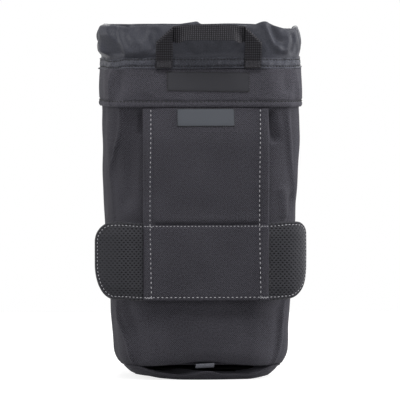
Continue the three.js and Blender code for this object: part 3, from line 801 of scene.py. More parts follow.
# Walls: four padded panels that meet in welted seams at the corners.
WALL_ROWS, WALL_COLS = 150, 110
WALL_DEPTH, WALL_SPAN = 5.6, 100.0
WELT_HEIGHT, WELT_WIDTH = 0.7, 1.5
GROOVE_DEPTH, GROOVE_PLACE, GROOVE_WIDTH = 0.3, 3.4, 2.0
PUFF, PUFF_RUN = 0.9, 22.0
BARREL, BARREL_RUN, BARREL_START = 1.7, 16.0, 30.0
BAND_FADE = 6.0
WALL_RIPPLES = [(0.5, 70, 5), (0.3, 26, 6)]
WALL_TAPER = 0.15
FOOT_START, FOOT_GAIN, FOOT_POWER = 18.0, 0.0236, 2.17
FOOT_ARCH, FOOT_ARCH_WIDTH, FOOT_ARCH_RISE = 2.6, 20.0, 14.0
FOOT_SAG, FOOT_SAG_HALF, FOOT_SAG_FADE = 0.6, 44.0, 8.0
CORNER_DRAW, CORNER_REACH = 3.6, 9.0
CORNER_LEVELS = [8, 25, 36, 46, 60, 105, 122, 140, 160, 175]
CORNER_SHARES = [0.3, 0.8, 0.8, 0.35, 0.1, 0.15, 0.6, 1.0, 1.0, 0.5]

# Lines (x, z) of the belt side's two corner seams, from the foot up.
BELT_SEAMS = [
    [
        (-43.5, 8), (-45.0, 22), (-49.6, 36), (-53.4, 46), (-56.0, 60), (-57.0, 80),
        (-57.0, 105), (-54.3, 125), (-50.0, 143), (-48.6, 162), (-52.0, 184),
    ],
    [
        (43.0, 8), (44.6, 20), (45.6, 35), (47.5, 45), (52.0, 60), (54.6, 80),
        (54.6, 105), (51.8, 120), (50.2, 128), (47.8, 150), (47.6, 162), (51.0, 184),
    ],
]
SEAM_LIMIT = 63.0
SEAM_POINTS = 80

# Folds of the walls that show beside and below the flap.
WALL_FOLDS = [
    ([(-43, 160), (-44, 130), (-47, 100)], 5.5, -2.0),
    ([(-54, 140), (-50, 112), (-47, 98)], 3.5, -1.0),
    ([(36.5, 166), (38.8, 153), (42, 140)], 2.6, -3.4),
    ([(-36.5, 166), (-38.3, 154), (-38.7, 144)], 1.8, -2.4),
    ([(45, 116), (47, 108), (48, 94)], 3.6, 1.8),
    ([(51.5, 112), (51.5, 100), (50, 88)], 2.6, -1.2),
    ([(-48, 50), (-43, 36), (-38, 20), (-36, 10)], 4.5, -1.6),
    ([(-20, 44), (-8, 34), (8, 31), (24, 36)], 9.0, 0.7),
    ([(-28, 40), (-20, 24), (-18, 12)], 6.0, -0.6),
    ([(42.5, 46), (43, 28), (41.5, 11)], 3.2, -0.7),
]


def foot_turn(z):
    """How far the cloth turns in under the foot."""
    return FOOT_GAIN * np.clip(FOOT_START - z, 0, None) ** FOOT_POWER


def seam_run(side, z):
    """Length along the plan from the middle of the belt side to its left (0) or right (1) seam."""
    line = np.array(on_wall(*BELT_SEAMS[side]))
    line[:, 0] = np.minimum(np.abs(line[:, 0]), SEAM_LIMIT)
    run, level = spline(line, SEAM_POINTS).T
    return np.interp(z, level, run)


def seam_place(index, z):
    """Place along the plan of a corner seam; the belt side's two bow out."""
    if index % 4 > 1:
        return index + np.zeros_like(z)
    turn = np.interp(seam_run(index % 4, z), TURN_RUNS, TURNS)
    return index + 0.5 - turn if index % 4 == 0 else index - 0.5 + turn


def corner_edge(run, z):
    """How far the belt side's corners are drawn out to a crisp edge along their seams."""
    seam = np.where(run < 0, seam_run(0, z), seam_run(1, z))
    draw = CORNER_DRAW * np.interp(z, CORNER_LEVELS, CORNER_SHARES)
    return draw * np.exp(-np.abs(np.abs(run) - seam) / CORNER_REACH)


def wall_out(u, z, s, side):
    """How far the cloth stands off the wall's plan; s runs from seam to seam."""
    run = WALL_SPAN * np.minimum(s, 1 - s)
    welt = WELT_HEIGHT * bell(run, WELT_WIDTH) - GROOVE_DEPTH * bell(run - GROOVE_PLACE, GROOVE_WIDTH)
    puff = PUFF * (smooth(run / PUFF_RUN) - 1) + ripples(plan(u, z), *WALL_RIPPLES)
    folds = fold_sum(run_of(u), z, WALL_FOLDS, WALL_TAPER)
    out = smooth((BAND_BOTTOM - z) / BAND_FADE) * (welt + puff + folds) + corner_edge(run_of(u), z)
    if side == 0:
        return out
    rise = np.clip((z - BARREL_START) / (BAND_BOTTOM - BARREL_START), 0, 1)
    return out + BARREL * np.sin(np.pi * rise) * smooth(run / BARREL_RUN)


def wall(side, name):
    z = np.linspace(BODY_BOTTOM, PAD_TOP, WALL_ROWS)[:, None]
    s = np.linspace(0, 1, WALL_COLS)[None, :]
    u = mix(seam_place(side, z), seam_place(side + 1, z), s)
    u, z, s = np.broadcast_arrays(u, z, s)
    points = plan(u, z, wall_out(u, z, s, side) - foot_turn(z))
    if side == 0:
        x = np.abs(points[..., X])
        sag = FOOT_SAG * smooth((FOOT_SAG_HALF - x) / FOOT_SAG_FADE)
        arch = FOOT_ARCH * bell(x, FOOT_ARCH_WIDTH) - sag
        points[..., Z] += arch * (1 - smooth((z - BODY_BOTTOM) / FOOT_ARCH_RISE))
    weave = np.stack([run_of(u - side), z], axis=-1)
    piece = grid(f"{name}_wall", points, outer_cloth, thickness=WALL_DEPTH, maps=weave)
    dress(piece, "outer_fabric", "pouch", f"{name}_panel", f"{name}_pad")


for index, side_name in enumerate(("rear", "right_side", "front", "left_side")):
    wall(index, side_name)

# Mouth band: a cloth ring over the panels' tops, with a turned-up hem and a row of dark stitches.
BAND_COLS, BAND_ROWS, BAND_HEM_ROWS = 480, 26, 16
BAND_FACE, BAND_DEPTH = 1.4, 1.0
BAND_BELLY = 0.5
BAND_LIP, BAND_LIP_RISE = 0.5, 1.6
BAND_HEM_RISE, BAND_HEM_END, BAND_HEM_LIFT = 3.4, 5.0, 0.5
BAND_HEM_GROOVE, BAND_HEM_GROOVE_WIDTH = 0.6, 0.8
BAND_PUCKER, PUCKER_WIDTH = (0.3, 5, 13), 2.0
BAND_RIPPLES = [(0.35, 34, 11), (0.15, 14, 12)]
BAND_TAPER = 0.1
BAND_STITCH = (2.3, 1.6, 0.4)
BAND_FOLDS = [
    ([(-52.6, BAND_TOP), (-53.0, 176), (-53.2, BAND_BOTTOM)], 1.8, 2.2),
    ([(-48.4, BAND_TOP), (-48.8, 176), (-49.2, 165)], 2.6, -2.2),
    ([(51.4, BAND_TOP), (52.2, 176), (52.8, 166)], 2.0, 1.6),
    ([(45.6, BAND_TOP), (46.4, 170)], 2.4, -0.9),
    ([(-30, BAND_TOP), (-34, 168)], 5.0, 0.5),
    ([(36, BAND_TOP), (33, 168)], 4.0, -0.5),
]


def band_out(u, z):
    """How far the band's cloth stands off the wall's plan."""
    points, run = plan(u, z), run_of(u)
    seam = z - BAND_BOTTOM - BAND_HEM_RISE
    middle = np.sin(np.pi * np.clip((z - BAND_BOTTOM) / (BAND_TOP - BAND_BOTTOM), 0, 1))
    lip = BAND_LIP * smooth((BAND_BOTTOM + BAND_LIP_RISE - z) / BAND_LIP_RISE) ** 2
    hem = BAND_HEM_LIFT * smooth(0.5 - seam / 1.2) - BAND_HEM_GROOVE * bell(seam, BAND_HEM_GROOVE_WIDTH)
    folds = fold_sum(run, z, BAND_FOLDS, BAND_TAPER)
    folds += ripples(points, BAND_PUCKER) * bell(seam, PUCKER_WIDTH)
    folds = folds * (0.3 + 0.7 * middle) + corner_edge(run, z)
    soft = middle * (BAND_BELLY + ripples(points, *BAND_RIPPLES))
    return BAND_FACE + hem + folds + soft - lip


def band_point(u, z):
    return plan(u, z, band_out(u, z))


def mouth_band():
    hem = np.linspace(BAND_BOTTOM, BAND_BOTTOM + BAND_HEM_END, BAND_HEM_ROWS)
    z = np.concatenate([hem, np.linspace(hem[-1], BAND_TOP, BAND_ROWS)[1:]])
    points = band_point(around(BAND_COLS), z[:, None])
    piece = grid("mouth_band_cloth", points, band_cloth_painted_light, wrap=True, thickness=BAND_DEPTH)
    dress(piece, "outer_fabric", "pouch", "mouth_band", "band_stiffener")
    line = np.linspace(0, 4, 900)
    rows = [stitch_points(band_point(line, BAND_BOTTOM + BAND_HEM_RISE), facing(line), *BAND_STITCH)]
    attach(stitching("band_hem_stitching", rows, dark_thread), "pouch")


mouth_band()

# Labels: bare woven patches, each edged with a row of dark thread that paints the shadow line along its
# edges.
LABEL_ROWS, LABEL_COLS = 26, 64
LABEL_DEPTH, LABEL_SINK = 0.6, 0.2
LABEL_CORNER = 1.0
# Dark thread round a label's edge, a painted shadow line: (pitch, length of a stitch, radius), and its
# inset.
LABEL_SHADOW_LINE, LABEL_SHADOW_LINE_INSET = (1.3, 1.25, 0.24), 0.1
BAND_LABEL_SHIFT, BAND_LABEL_TILT = (1.5, 0.0), -0.016
FLAP_LABEL_SHIFT, FLAP_LABEL_TILT = (0.0, 1.2), 0.0


def rear_box(node):
    """Middle and half size of a node in the rear wall's plane."""
    (x0, x1), (z0, z1) = span(node, X), span(node, Z)
    return ((x0 + x1) / 2, (z0 + z1) / 2), ((x1 - x0) / 2, (z1 - z0) / 2)


def rounded_patch(middle, half, corner, tilt, rows, cols):
    """Places (x, z) over a rectangle with rounded corners, and how far they lie inside its edges."""
    v = np.linspace(-1, 1, rows)[:, None]
    u = np.linspace(-1, 1, cols)[None, :]
    rise = half[1] * v
    short = np.clip(corner - (half[1] - np.abs(rise)), 0, corner)
    across = (half[0] - corner + np.sqrt(corner**2 - short**2)) * u
    border = np.minimum((1 - np.abs(u)) * half[0], (1 - np.abs(v)) * half[1])
    return middle[0] + across, middle[1] + rise + tilt * across, border


def label(node, body, look, shift, tilt, surface):
    """A patch that follows a surface, which gives the distance out from the rear wall at (x, z)."""
    middle, half = rear_box(node)
    middle = np.add(middle, shift)
    x, z, border = rounded_patch(middle, half, LABEL_CORNER, tilt, LABEL_ROWS, LABEL_COLS)
    rise = LABEL_DEPTH * (0.45 + 0.55 * smooth(border / 0.7)) - 0.12 * bell(border - 1.0, 0.3)
    front = before_rear(x, z, surface(x, z) + rise)
    piece = slab(f"{node}_patch", front, before_rear(x, z, surface(x, z) - LABEL_SINK), look)
    dress(piece, node, body, node)
    # A row of dark thread round the label's edge: painted shadow along its edges.
    corners = np.array([(-1, -1), (1, -1), (1, 1), (-1, 1), (-1, -1)])
    corners = corners * np.subtract(half, LABEL_SHADOW_LINE_INSET)
    rows = []
    for start, end in zip(corners, corners[1:]):
        across, up = mix(start[:, None], end[:, None], np.linspace(0, 1, 60))
        line_x, line_z = middle[0] + across, middle[1] + up + tilt * across
        path = before_rear(line_x, line_z, surface(line_x, line_z) + LABEL_DEPTH / 2)
        rows.append(stitch_points(path, OUTWARD, *LABEL_SHADOW_LINE))
    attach(stitching(f"{node}_patch_shadow_line", rows, dark_thread), body)


def band_face(x, z):
    """Distance of the band's face from the rear wall, over the wall's straight run."""
    return band_out(0.5 + (0.5 - ARC_SHARE) * x / (MOUTH_HALF - CORNER_RADIUS), z)


label("band_label", "pouch", black_label, BAND_LABEL_SHIFT, BAND_LABEL_TILT, band_face)

# Collar: thin nylon gathered at the seam tape, rolled over at the rim and tucked inside. Its profile is
# given as distance out from the wall and height above the band.
COLLAR_PROFILE = [
    (0.2, 0.4), (0.2, 3.6), (0.4, 6.8), (1.0, 11.5), (1.2, 15.5), (0.8, 19.5), (0.1, 22.8),
    (-0.6, 24.9), (-1.7, 25.8), (-2.9, 25.2), (-3.8, 23.4),
]
COLLAR_ROWS, COLLAR_COLS = 28, 256
COLLAR_DEPTH = 0.5
COLLAR_FULLNESS, COLLAR_SLOUCH = 0.03, 0.018
COLLAR_SEED, SETTLE_STEPS, QUICK_STEPS = 25, 320, 20
COLLAR_HOLD, CORNER_HOLD = 0.012, 0.5
COLLAR_TAPER = 0.2
COLLAR_RIPPLES, COLLAR_CRUMPLE = [(1.9, 34, 21), (0.9, 15, 22)], (0.3, 19, 23)
BELT_EDGE, BELT_FADE = 8.0, 16.0
COLLAR_FOLDS = [
    ([(-51.8, 210), (-49.2, 203), (-46.8, 198), (-44.6, 194)], 1.6, 1.0),
    ([(-46, 209), (-38, 200), (-34, 193)], 3.0, 1.6),
    ([(-29, 210), (-31, 202), (-28, 195)], 3.0, -0.8),
    ([(33.5, 213), (38.8, 203.2), (41.8, 198.4), (45.9, 193)], 2.2, 1.7),
    ([(38.0, 212), (40.5, 206), (43.5, 199)], 2.8, -2.6),
    ([(48.5, 209), (48.9, 203.2), (47.7, 198.4), (46.5, 192)], 2.6, 1.6),
    ([(51.6, 209), (51.9, 203.2), (51.3, 198.4), (50.5, 192)], 1.8, -1.5),
    ([(53.7, 209), (53.8, 203), (54.8, 198), (55.4, 192)], 1.6, 0.8),
    ([(16, 207), (2, 200), (-10, 194)], 4.0, 0.9),
]

# The collar's left corner: a fold and a ridge with a facet between them. Levels, and how far out at each.
LEFT_FOLD = [(-54.5, 213), (-50.6, 203), (-48.2, 198.4), (-45.5, 192)]
LEFT_RIDGE = [(-57.2, 213), (-56.6, 203), (-56.0, 196), (-54.5, 190)]
FACET_LEAN = ([190, 194, 200, 205, 209, 213], [-1.0, -2.6, 0.0, 3.0, 3.2, 1.5])
RIDGE_DRAW = ([190, 195, 204, 212], [3.0, 6.0, 5.5, 3.0])
LEFT_LEAN = ([190, 193, 198, 203, 207, 209, 211], [1.3, 2.4, 2.0, 0.6, -1.2, -0.2, 1.2])

# Places along the belt side where the collar leans out above a level: (run, width, level, height).
COLLAR_LEANS, LEAN_RISE = [(3, 20, 199, 2.2), (-38, 9, 200, -3.2)], 8.0

# Ears and dips of the rim: (x, width, height). On the far side, one end of the cloth laps over the other.
RIM_EARS = [(-58.5, 4.5, 0.9), (35, 5, 2.4), (56, 3, 0.3), (-46, 7, -0.9), (50, 7, -2.0)]
FAR_RIM_DIP, FAR_RIM_DROP, FAR_RIM_RIPPLE = (55, 11, -2.4), 0.6, (0.7, 40, 31)
LAP_START, LAP_RUN, LAP_END, LAP_RISE = -9.0, 12.0, 3.3, 1.8


def belt_share(points):
    """1 on the collar's belt side, 0 on its far side."""
    return smooth((BELT_EDGE - points[..., Y]) / BELT_FADE)


def left_corner(run, z):
    """The collar's left corner: distance past its ridge, and a share that is 1 on the facet beside it."""
    past_fold, _ = to_path(run, z, on_wall(*LEFT_FOLD))
    past_ridge, _ = to_path(run, z, on_wall(*LEFT_RIDGE))
    return past_ridge, smooth(-past_fold / 2) * smooth(past_ridge / 3)


def collar_folds(points, run, share):
    """Gathers round the collar; those of the belt side are placed one by one."""
    z, rear = points[..., Z], belt_share(points)
    angle = np.arctan2(points[..., Y], points[..., X])
    gathers = 0.45 * np.sin(23 * angle + 2.0 * np.sin(3 * angle)) + 0.35 * np.sin(37 * angle + 1.3)
    far = (1 - rear) * share * (ripples(points, *COLLAR_RIPPLES) + 1.2 * gathers - 0.8)
    near = fold_sum(run, z, COLLAR_FOLDS, COLLAR_TAPER)
    past_ridge, facet = left_corner(run, z)
    lean = smooth(-past_ridge / 5) * rear * np.interp(z, *LEFT_LEAN)
    for place, width, level, height in COLLAR_LEANS:
        lean += height * bell(run - place, width) * np.clip((z - level) / LEAN_RISE, -1, 1)
    lean += facet * np.interp(z, *FACET_LEAN)
    lean += np.interp(z, *RIDGE_DRAW) * np.exp(-np.abs(past_ridge) / 6)
    lean *= smooth((z - TAPE_TOP + 0.5) / 4)
    crumple = share * ripples(points, COLLAR_CRUMPLE) + 0.16 * gathers * (1 - share)
    return far + rear * near * smooth(share * 2.5) + lean + crumple


def rim_rise(points):
    """Uneven height of the rim."""
    x, rear = points[..., X], belt_share(points)
    near = sum(height * bell(x - place, width) for place, width, height in RIM_EARS)
    lap = LAP_RISE * np.clip((x - LAP_START) / LAP_RUN, 0, 1) * np.where(x < LAP_END, 1, 0)
    place, width, height = FAR_RIM_DIP
    far = ripples(points, FAR_RIM_RIPPLE) + lap - FAR_RIM_DROP + height * bell(x - place, width)
    return rear * near + (1 - rear) * far


def collar_surface(u, profile):
    """The collar's form before it settles."""
    u, out, z = np.broadcast_arrays(u, profile[:, :1], BAND_TOP + profile[:, 1:])
    base = ring_plan(u, z, out)
    up = np.linspace(0, 1, len(profile))[:, None]
    share = smooth((z - TAPE_TOP + 1) / 12)
    inward = smooth((up - 0.8) / 0.2)
    fold = collar_folds(base, run_of(u), share) * mix(1, 0.6, inward)
    points = ring_plan(u, z, out + fold)
    points[..., Z] += rim_rise(base) * smooth((z - BAND_TOP - 10) / 14)
    return points


def collar():
    """Makes the collar; returns its last row of points, where its sleeve goes on."""
    u = around(COLLAR_COLS)
    profile = spline(COLLAR_PROFILE, COLLAR_ROWS)
    rise, up = profile[:, 1:], np.linspace(0, 1, COLLAR_ROWS)[:, None]
    free = smooth((rise - 5.5) / 6) * smooth((1.06 - up) / 0.1)
    past_ridge, facet = left_corner(run_of(u), BAND_TOP + rise)
    firm = CORNER_HOLD * np.maximum(facet, bell(past_ridge, 4))
    hold = np.where(free > 0, COLLAR_HOLD, 1.0) + (1 - free) ** 4 + firm
    growth = (COLLAR_FULLNESS * free, COLLAR_SLOUCH * free)
    steps = SETTLE_STEPS
    points = settle(collar_surface(u, profile), growth, np.clip(hold, 0, 1), steps, COLLAR_SEED)
    piece = grid("collar_cloth", points, nylon, wrap=True)
    refine(piece, 2)
    thicken(piece, COLLAR_DEPTH)
    dress(piece, "collar_fabric", "pouch", "collar")
    return points[-1]


collar_end = collar()

# Seam tape at the collar's foot, sewn down with two rows.
TAPE_ROWS, TAPE_COLS = 20, 760
TAPE_FACE, TAPE_DEPTH = 1.15, 0.6
FLANGE, FLANGE_RISE = 1.3, 1.4
TAPE_SEAMS = (TAPE_BOTTOM + 1.5, TAPE_TOP - 1.0)
TAPE_GROOVE, TAPE_GROOVE_WIDTH = 0.5, 0.6
TAPE_RIPPLES, TAPE_SWAY = [(0.5, 6, 41), (0.3, 22, 42)], (0.35, 45, 43)
TAPE_DROP, TAPE_DROP_START, TAPE_DROP_RUN = 1.1, -47.0, 6.0
TAPE_STITCH = (2.0, 1.3, 0.3)


def tape_point(u, z):
    """A point of the tape's face; the tape hangs lower at the left corner."""
    flange = FLANGE * smooth((TAPE_BOTTOM + FLANGE_RISE - z) / FLANGE_RISE)
    grooves = sum(TAPE_GROOVE * bell(z - seam, TAPE_GROOVE_WIDTH) for seam in TAPE_SEAMS)
    points = plan(u, z, TAPE_FACE + flange + ripples(plan(u, z), *TAPE_RIPPLES) - grooves)
    drop = TAPE_DROP * smooth((TAPE_DROP_START - points[..., X]) / TAPE_DROP_RUN)
    points[..., Z] += ripples(points, TAPE_SWAY) - drop
    return points


def seam_tape():
    z = np.linspace(TAPE_BOTTOM + 0.5, TAPE_TOP, TAPE_ROWS)[:, None]
    points = tape_point(around(TAPE_COLS), z)
    piece = grid("seam_tape_cloth", points, tape_cloth_painted_light, wrap=True, thickness=TAPE_DEPTH)
    dress(piece, "collar_fabric", "pouch", "collar_seam_tape")
    line = np.linspace(0, 4, 1200)
    rows = [stitch_points(tape_point(line, seam), facing(line), *TAPE_STITCH) for seam in TAPE_SEAMS]
    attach(stitching("seam_tape_stitching", rows, dark_thread), "pouch")


seam_tape()

# The collar's inner sleeve, its hem and the two eyelets of the hem's channel.
SLEEVE_ROWS = 40
SLEEVE_INSET, SLEEVE_DEPTH = 9.6, 0.4
SLEEVE_RIPPLE = (0.5, 22, 51)
SLEEVE_JOIN = 0.7
PLEATS, PLEAT_HEIGHT = 36, 0.4
HEM_COLS, HEM_TURNS = 480, 24
HEM_INSET, HEM_DEPTH = 10.6, 2.4
HEM_FLATNESS = 0.6
HEM_STITCH, HEM_STITCH_TURN = (2.4, 1.6, 0.18), np.pi - 0.5

# An eyelet's section, as shares of its radius and depth: a rolled flange round a short barrel.
EYELET_SECTION = [
    (0.53, -0.6), (0.53, 0.55), (0.62, 0.9), (0.76, 1.0), (0.92, 0.75), (1.0, 0.3), (0.97, 0.0),
]
EYELET_SHEET = 0.25


def sleeve_pleats(u):
    turn = np.pi / 2 * u
    return np.sin(PLEATS * turn + 1.5 * np.sin(5 * turn)) + 0.5 * np.sin(0.5 * PLEATS * turn)


def collar_sleeve(top):
    """The tucked-in part of the collar, which goes on from the collar's last row of points."""
    t = np.linspace(0, 1, SLEEVE_ROWS)[:, None]
    u = around(COLLAR_COLS)
    pleats = PLEAT_HEIGHT * sleeve_pleats(u) * mix(1, 0.4, t)
    points = ring_plan(u, mix(SLEEVE_BOTTOM, SLEEVE_TOP, t), pleats - mix(HEM_INSET, SLEEVE_INSET, t))
    bulge = ripples(points, SLEEVE_RIPPLE) * np.sin(np.pi * t)
    points += bulge[..., None] * facing(u)
    points = mix(points, top[None], smooth((t - SLEEVE_JOIN) / (1 - SLEEVE_JOIN))[..., None])
    piece = grid("collar_sleeve_cloth", points, nylon, wrap=True)
    refine(piece, 1)
    thicken(piece, SLEEVE_DEPTH)
    stand_for(piece, "collar_fabric", "collar_sleeve")
    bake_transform(piece)


def flattened(wave):
    """A wave with flatter peaks and troughs."""
    return np.sign(wave) * np.abs(wave) ** HEM_FLATNESS


def hem_section(u, turn):
    """A point on the skin of the hem's flattened roll; turn goes once round the roll."""
    out = HEM_DEPTH / 2 * (flattened(np.cos(turn)) - 1) - HEM_INSET + 0.1 * sleeve_pleats(u)
    return ring_plan(u, mix(HEM_BOTTOM, HEM_TOP, (1 + flattened(np.sin(turn))) / 2), out)


def collar_hem():
    turn = np.linspace(0, -2 * np.pi, HEM_TURNS)[:, None]
    piece = grid("collar_hem_roll", hem_section(around(HEM_COLS), turn), nylon, wrap=True)
    dress(piece, "collar_fabric", "collar_hem", "collar_hem")
    line = np.linspace(0, 4, 900)
    rows = [stitch_points(hem_section(line, HEM_STITCH_TURN), -facing(line), *HEM_STITCH)]
    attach(stitching("collar_hem_stitching", rows, dark_thread), "collar_hem")


def hem_eyelet(node):
    """A pressed metal ring."""
    (x0, x1), (y0, y1), (z0, z1) = spans(node)
    section = spline(np.array(EYELET_SECTION) * ((x1 - x0) / 2, y1 - y0), 22)
    radius, depth = section[:, :1], section[:, 1:]
    turn = np.linspace(0, 2 * np.pi, 48, endpoint=False)[None, :]
    x = (x0 + x1) / 2 + radius * np.cos(turn)
    z = (z0 + z1) / 2 + radius * np.sin(turn)
    points = np.stack([x, y1 - depth + 0 * turn, z], axis=-1)
    piece = grid(f"{node}_ring", points, eyelet_metal, wrap=True, thickness=EYELET_SHEET)
    dress(piece, "eyelet_metal", "collar_hem", node)


collar_sleeve(collar_end)
collar_hem()
hem_eyelet("hem_eyelet_left")
hem_eyelet("hem_eyelet_right")

# Grab handle: one webbing strip, folded to a mitre at each upper corner and leant out from the collar.
HANDLE_ROWS, HANDLE_COLS = 460, 49
WEBBING_WIDTH, WEBBING_DEPTH = 10.0, 1.2
RIB_HEIGHT = 0.36
SELVEDGE, SELVEDGE_DROP = 0.5, 0.25
LAYER_STEP, LAYER_FADE = 1.5, 1.8
HANDLE_HALF, HANDLE_RISE = span("handle_strap", X)[1], 26.5
HANDLE_SHIFT = 1.5
SHOULDER = HANDLE_RISE - WEBBING_WIDTH
SPAN_HALF = HANDLE_HALF - WEBBING_WIDTH
SPAN_TILT, SPAN_END_TILT = math.radians(44), math.radians(56)
SPAN_TWIST, SPAN_BOW = 7.0, 1.2
HANDLE_LEAN = math.radians(22)
LEAN_START, LEAN_RUN = -2.0, 7.0
PIVOT = np.array(joint_place("handle_swing"))
TACK_LEVELS, TACK_INSET, TACK_LIFT = (1.0, 1.9, 2.8, 3.7, 4.6), 0.7, 0.08
TACK_STITCH = (0.8, 0.7, 0.24)


def rib_height(a, s):
    """Woven ribs: short raised yarns in rows along the strip."""
    across = np.abs(np.sin(np.pi * a / RIB_ROW)) ** 0.6
    along = 0.5 + 0.5 * np.cos(2 * np.pi * s / RIB_PITCH)
    inside = smooth(np.minimum(a, WEBBING_WIDTH - a) / SELVEDGE)
    return RIB_HEIGHT * across * along * inside - SELVEDGE_DROP * (1 - inside)


def strap_point(a, s, lift):
    """A point of the strip: a across it from its outer edge, s along its right half from the sewn end."""
    past = (s - SHOULDER - a) / math.sqrt(2)
    folded = past > 0
    x = np.where(folded, HANDLE_HALF + SHOULDER - s, HANDLE_HALF - a)
    z = np.where(folded, SHOULDER + a, s)
    behind = LAYER_STEP * (smooth(past / LAYER_FADE + 0.5) - 0.5)
    reach = np.abs(x) / SPAN_HALF
    inside = np.where(folded, smooth((SPAN_HALF - np.abs(x)) / SPAN_TWIST), 0)
    tilt = inside * mix(SPAN_TILT, SPAN_END_TILT, reach**2)
    drop = np.where(folded, HANDLE_RISE - z, 0)
    y = behind - drop * np.sin(tilt) - lift * np.cos(tilt)
    z = np.where(folded, HANDLE_RISE - drop * np.cos(tilt), z) + SPAN_BOW * inside * (1 - reach**2)
    lean = HANDLE_LEAN * smooth((z - LEAN_START) / LEAN_RUN)
    leaned_y = y * np.cos(lean) - z * np.sin(lean)
    leaned_z = y * np.sin(lean) + z * np.cos(lean)
    return np.stack([x, PIVOT[Y] + leaned_y, PIVOT[Z] + leaned_z], axis=-1)


def handle():
    end = HANDLE_HALF + SHOULDER
    a, s = np.meshgrid(np.linspace(0, WEBBING_WIDTH, HANDLE_COLS), np.linspace(0, 2 * end, HANDLE_ROWS))
    depth = WEBBING_DEPTH / 2 + rib_height(a, s)
    skins = [strap_point(a, np.minimum(s, 2 * end - s), side * depth) for side in (-1, 1)]
    for skin in skins:
        skin[..., X] = skin[..., X] * np.where(s > end, -1, 1) + HANDLE_SHIFT
    piece = slab("handle_webbing", *skins, webbing, np.stack([a, s], axis=-1))
    fill_ends(piece)
    stand_for(piece, "webbing", "handle_strap")
    line = np.linspace(TACK_INSET, WEBBING_WIDTH - TACK_INSET, 40)
    rows = []
    for side in (-1, 1):
        for level in TACK_LEVELS:
            path = strap_point(line, level, WEBBING_DEPTH / 2 + TACK_LIFT)
            path[:, X] = side * path[:, X] + HANDLE_SHIFT
            rows.append(stitch_points(path, OUTWARD, *TACK_STITCH))
    tacks = stitching("handle_bartacks", rows, grey_thread)
    for part in (piece, tacks):
        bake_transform(part)


handle()

# Belt flap: a stiffened panel hung from the band's hem, with folded margins down its long edges.
FLAP_ROWS, FLAP_COLS = 200, 124
FLARE = 22.0
TUNNEL_BELLY = 0.6
PANEL_DEPTH, PANEL_TOP_GAP = 1.0, 0.3
BINDING_LIFT = 1.9
PANEL_STANDOFF = -span("flap_binding_left", Y)[0] - REAR - BINDING_LIFT - TUNNEL_BELLY
MARGIN_FACE, MARGIN_DEPTH = 1.45, 0.5
SEAM_X = FLAP_HALF - 4.9
TOP_SEAM, BOTTOM_SEAM = WING_TOP - 1.8, FLAP_BOTTOM + 1.9
CREASE_LEVEL = TOP_SEAM + 1.2
HANG = 12.0
FLAP_RIPPLES, BACKING_RIPPLE = [(0.3, 48, 61), (0.1, 17, 62)], (0.12, 30, 63)
BACKING_ROWS, BACKING_COLS = 110, 80
BACKING_FRONT, BACKING_BACK = 1.2, 2.0

# A margin's section: across from the flap's edge, and out from the back of its panel.
MARGIN_SECTION = [
    (-5.45, 1.0), (-5.3, 1.25), (-4.9, 1.35), (-3.5, 1.45), (-1.4, 1.5), (-0.5, 1.35), (-0.1, 0.8),
    (0.0, 0.0), (-0.1, -1.2), (-0.6, -2.0), (-1.6, -2.3), (-3.6, -2.35), (-4.8, -2.35),
]

# White stitches down the margins and across the flap, and the close ones over the margins' ends.
SIDE_STITCH, SIDE_STITCH_DRIFT = (2.85, 1.65, 0.27), 0.9
CROSS_STITCHES = [(TOP_SEAM, 2.1, 1.3, 0.2), (BOTTOM_SEAM, 2.6, 1.6, 0.25)]
END_PITCH, END_DASH, SECOND_DASH = 1.6, 1.4, 1.2


def flap_back(z):
    """How far the back of the flap's panel stands off the rear wall."""
    flare = np.sin(np.pi / 2 * np.clip((FLAP_TOP - z) / FLARE, 0, 1))
    belly = np.sin(np.pi * np.clip((FLAP_TOP - z) / (FLAP_TOP - WING_TOP), 0, 1)) ** 2
    return PANEL_TOP_GAP + (PANEL_STANDOFF - PANEL_TOP_GAP) * flare + TUNNEL_BELLY * belly


def flap_shape(x, z):
    """What the flap's cloth adds to its plain form: the sewn crease, the padded end and soft waves."""
    inside = smooth((SEAM_X - 0.8 - np.abs(x)) / 2.5)
    fold = -1.5 * bell(z - CREASE_LEVEL, 0.9) + 0.5 * bell(z - CREASE_LEVEL - 3.2, 2.4)
    rise = np.clip((z - FLAP_BOTTOM) / (WING_TOP - FLAP_BOTTOM), 0, 1)
    pillow = 0.9 * np.sin(np.pi * rise) ** 0.7
    seams = -0.3 * bell(z - BOTTOM_SEAM, 0.7) - 0.4 * bell(z - TOP_SEAM, 0.7)
    end = -0.7 * smooth(FLAP_BOTTOM + 1.0 - z) ** 2
    soft = smooth((FLAP_TOP - z) / HANG) * ripples(before_rear(x, z, 0), *FLAP_RIPPLES)
    return fold * (0.25 + 0.75 * inside) + pillow + seams + end + soft


def flap_face(x, z):
    """Distance of the panel's face from the rear wall."""
    groove = -0.35 * bell(np.abs(x) - SEAM_X, 0.9)
    return flap_back(z) + PANEL_DEPTH + flap_shape(x, z) + groove


def margin_face(x, z):
    """Distance of the margins' faces from the rear wall."""
    return flap_back(z) + MARGIN_FACE + flap_shape(x, z)


def bend_with_flap(piece):
    """Bakes a piece's transform into its mesh."""
    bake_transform(piece)


def flap_panel():
    z = np.linspace(FLAP_BOTTOM, FLAP_TOP, FLAP_ROWS)[:, None]
    x = np.linspace(-PANEL_HALF, PANEL_HALF, FLAP_COLS)[None, :]
    front = before_rear(x, z, flap_face(x, z))
    back = before_rear(x, z, np.maximum(flap_back(z) - 1.1 * smooth((FLAP_TOP - z) / HANG), 0.2))
    piece = slab("flap_panel_cloth", front, back, flap_cloth)
    stand_for(piece, "outer_fabric", "flap_panel", "flap_stiffener")
    bend_with_flap(piece)


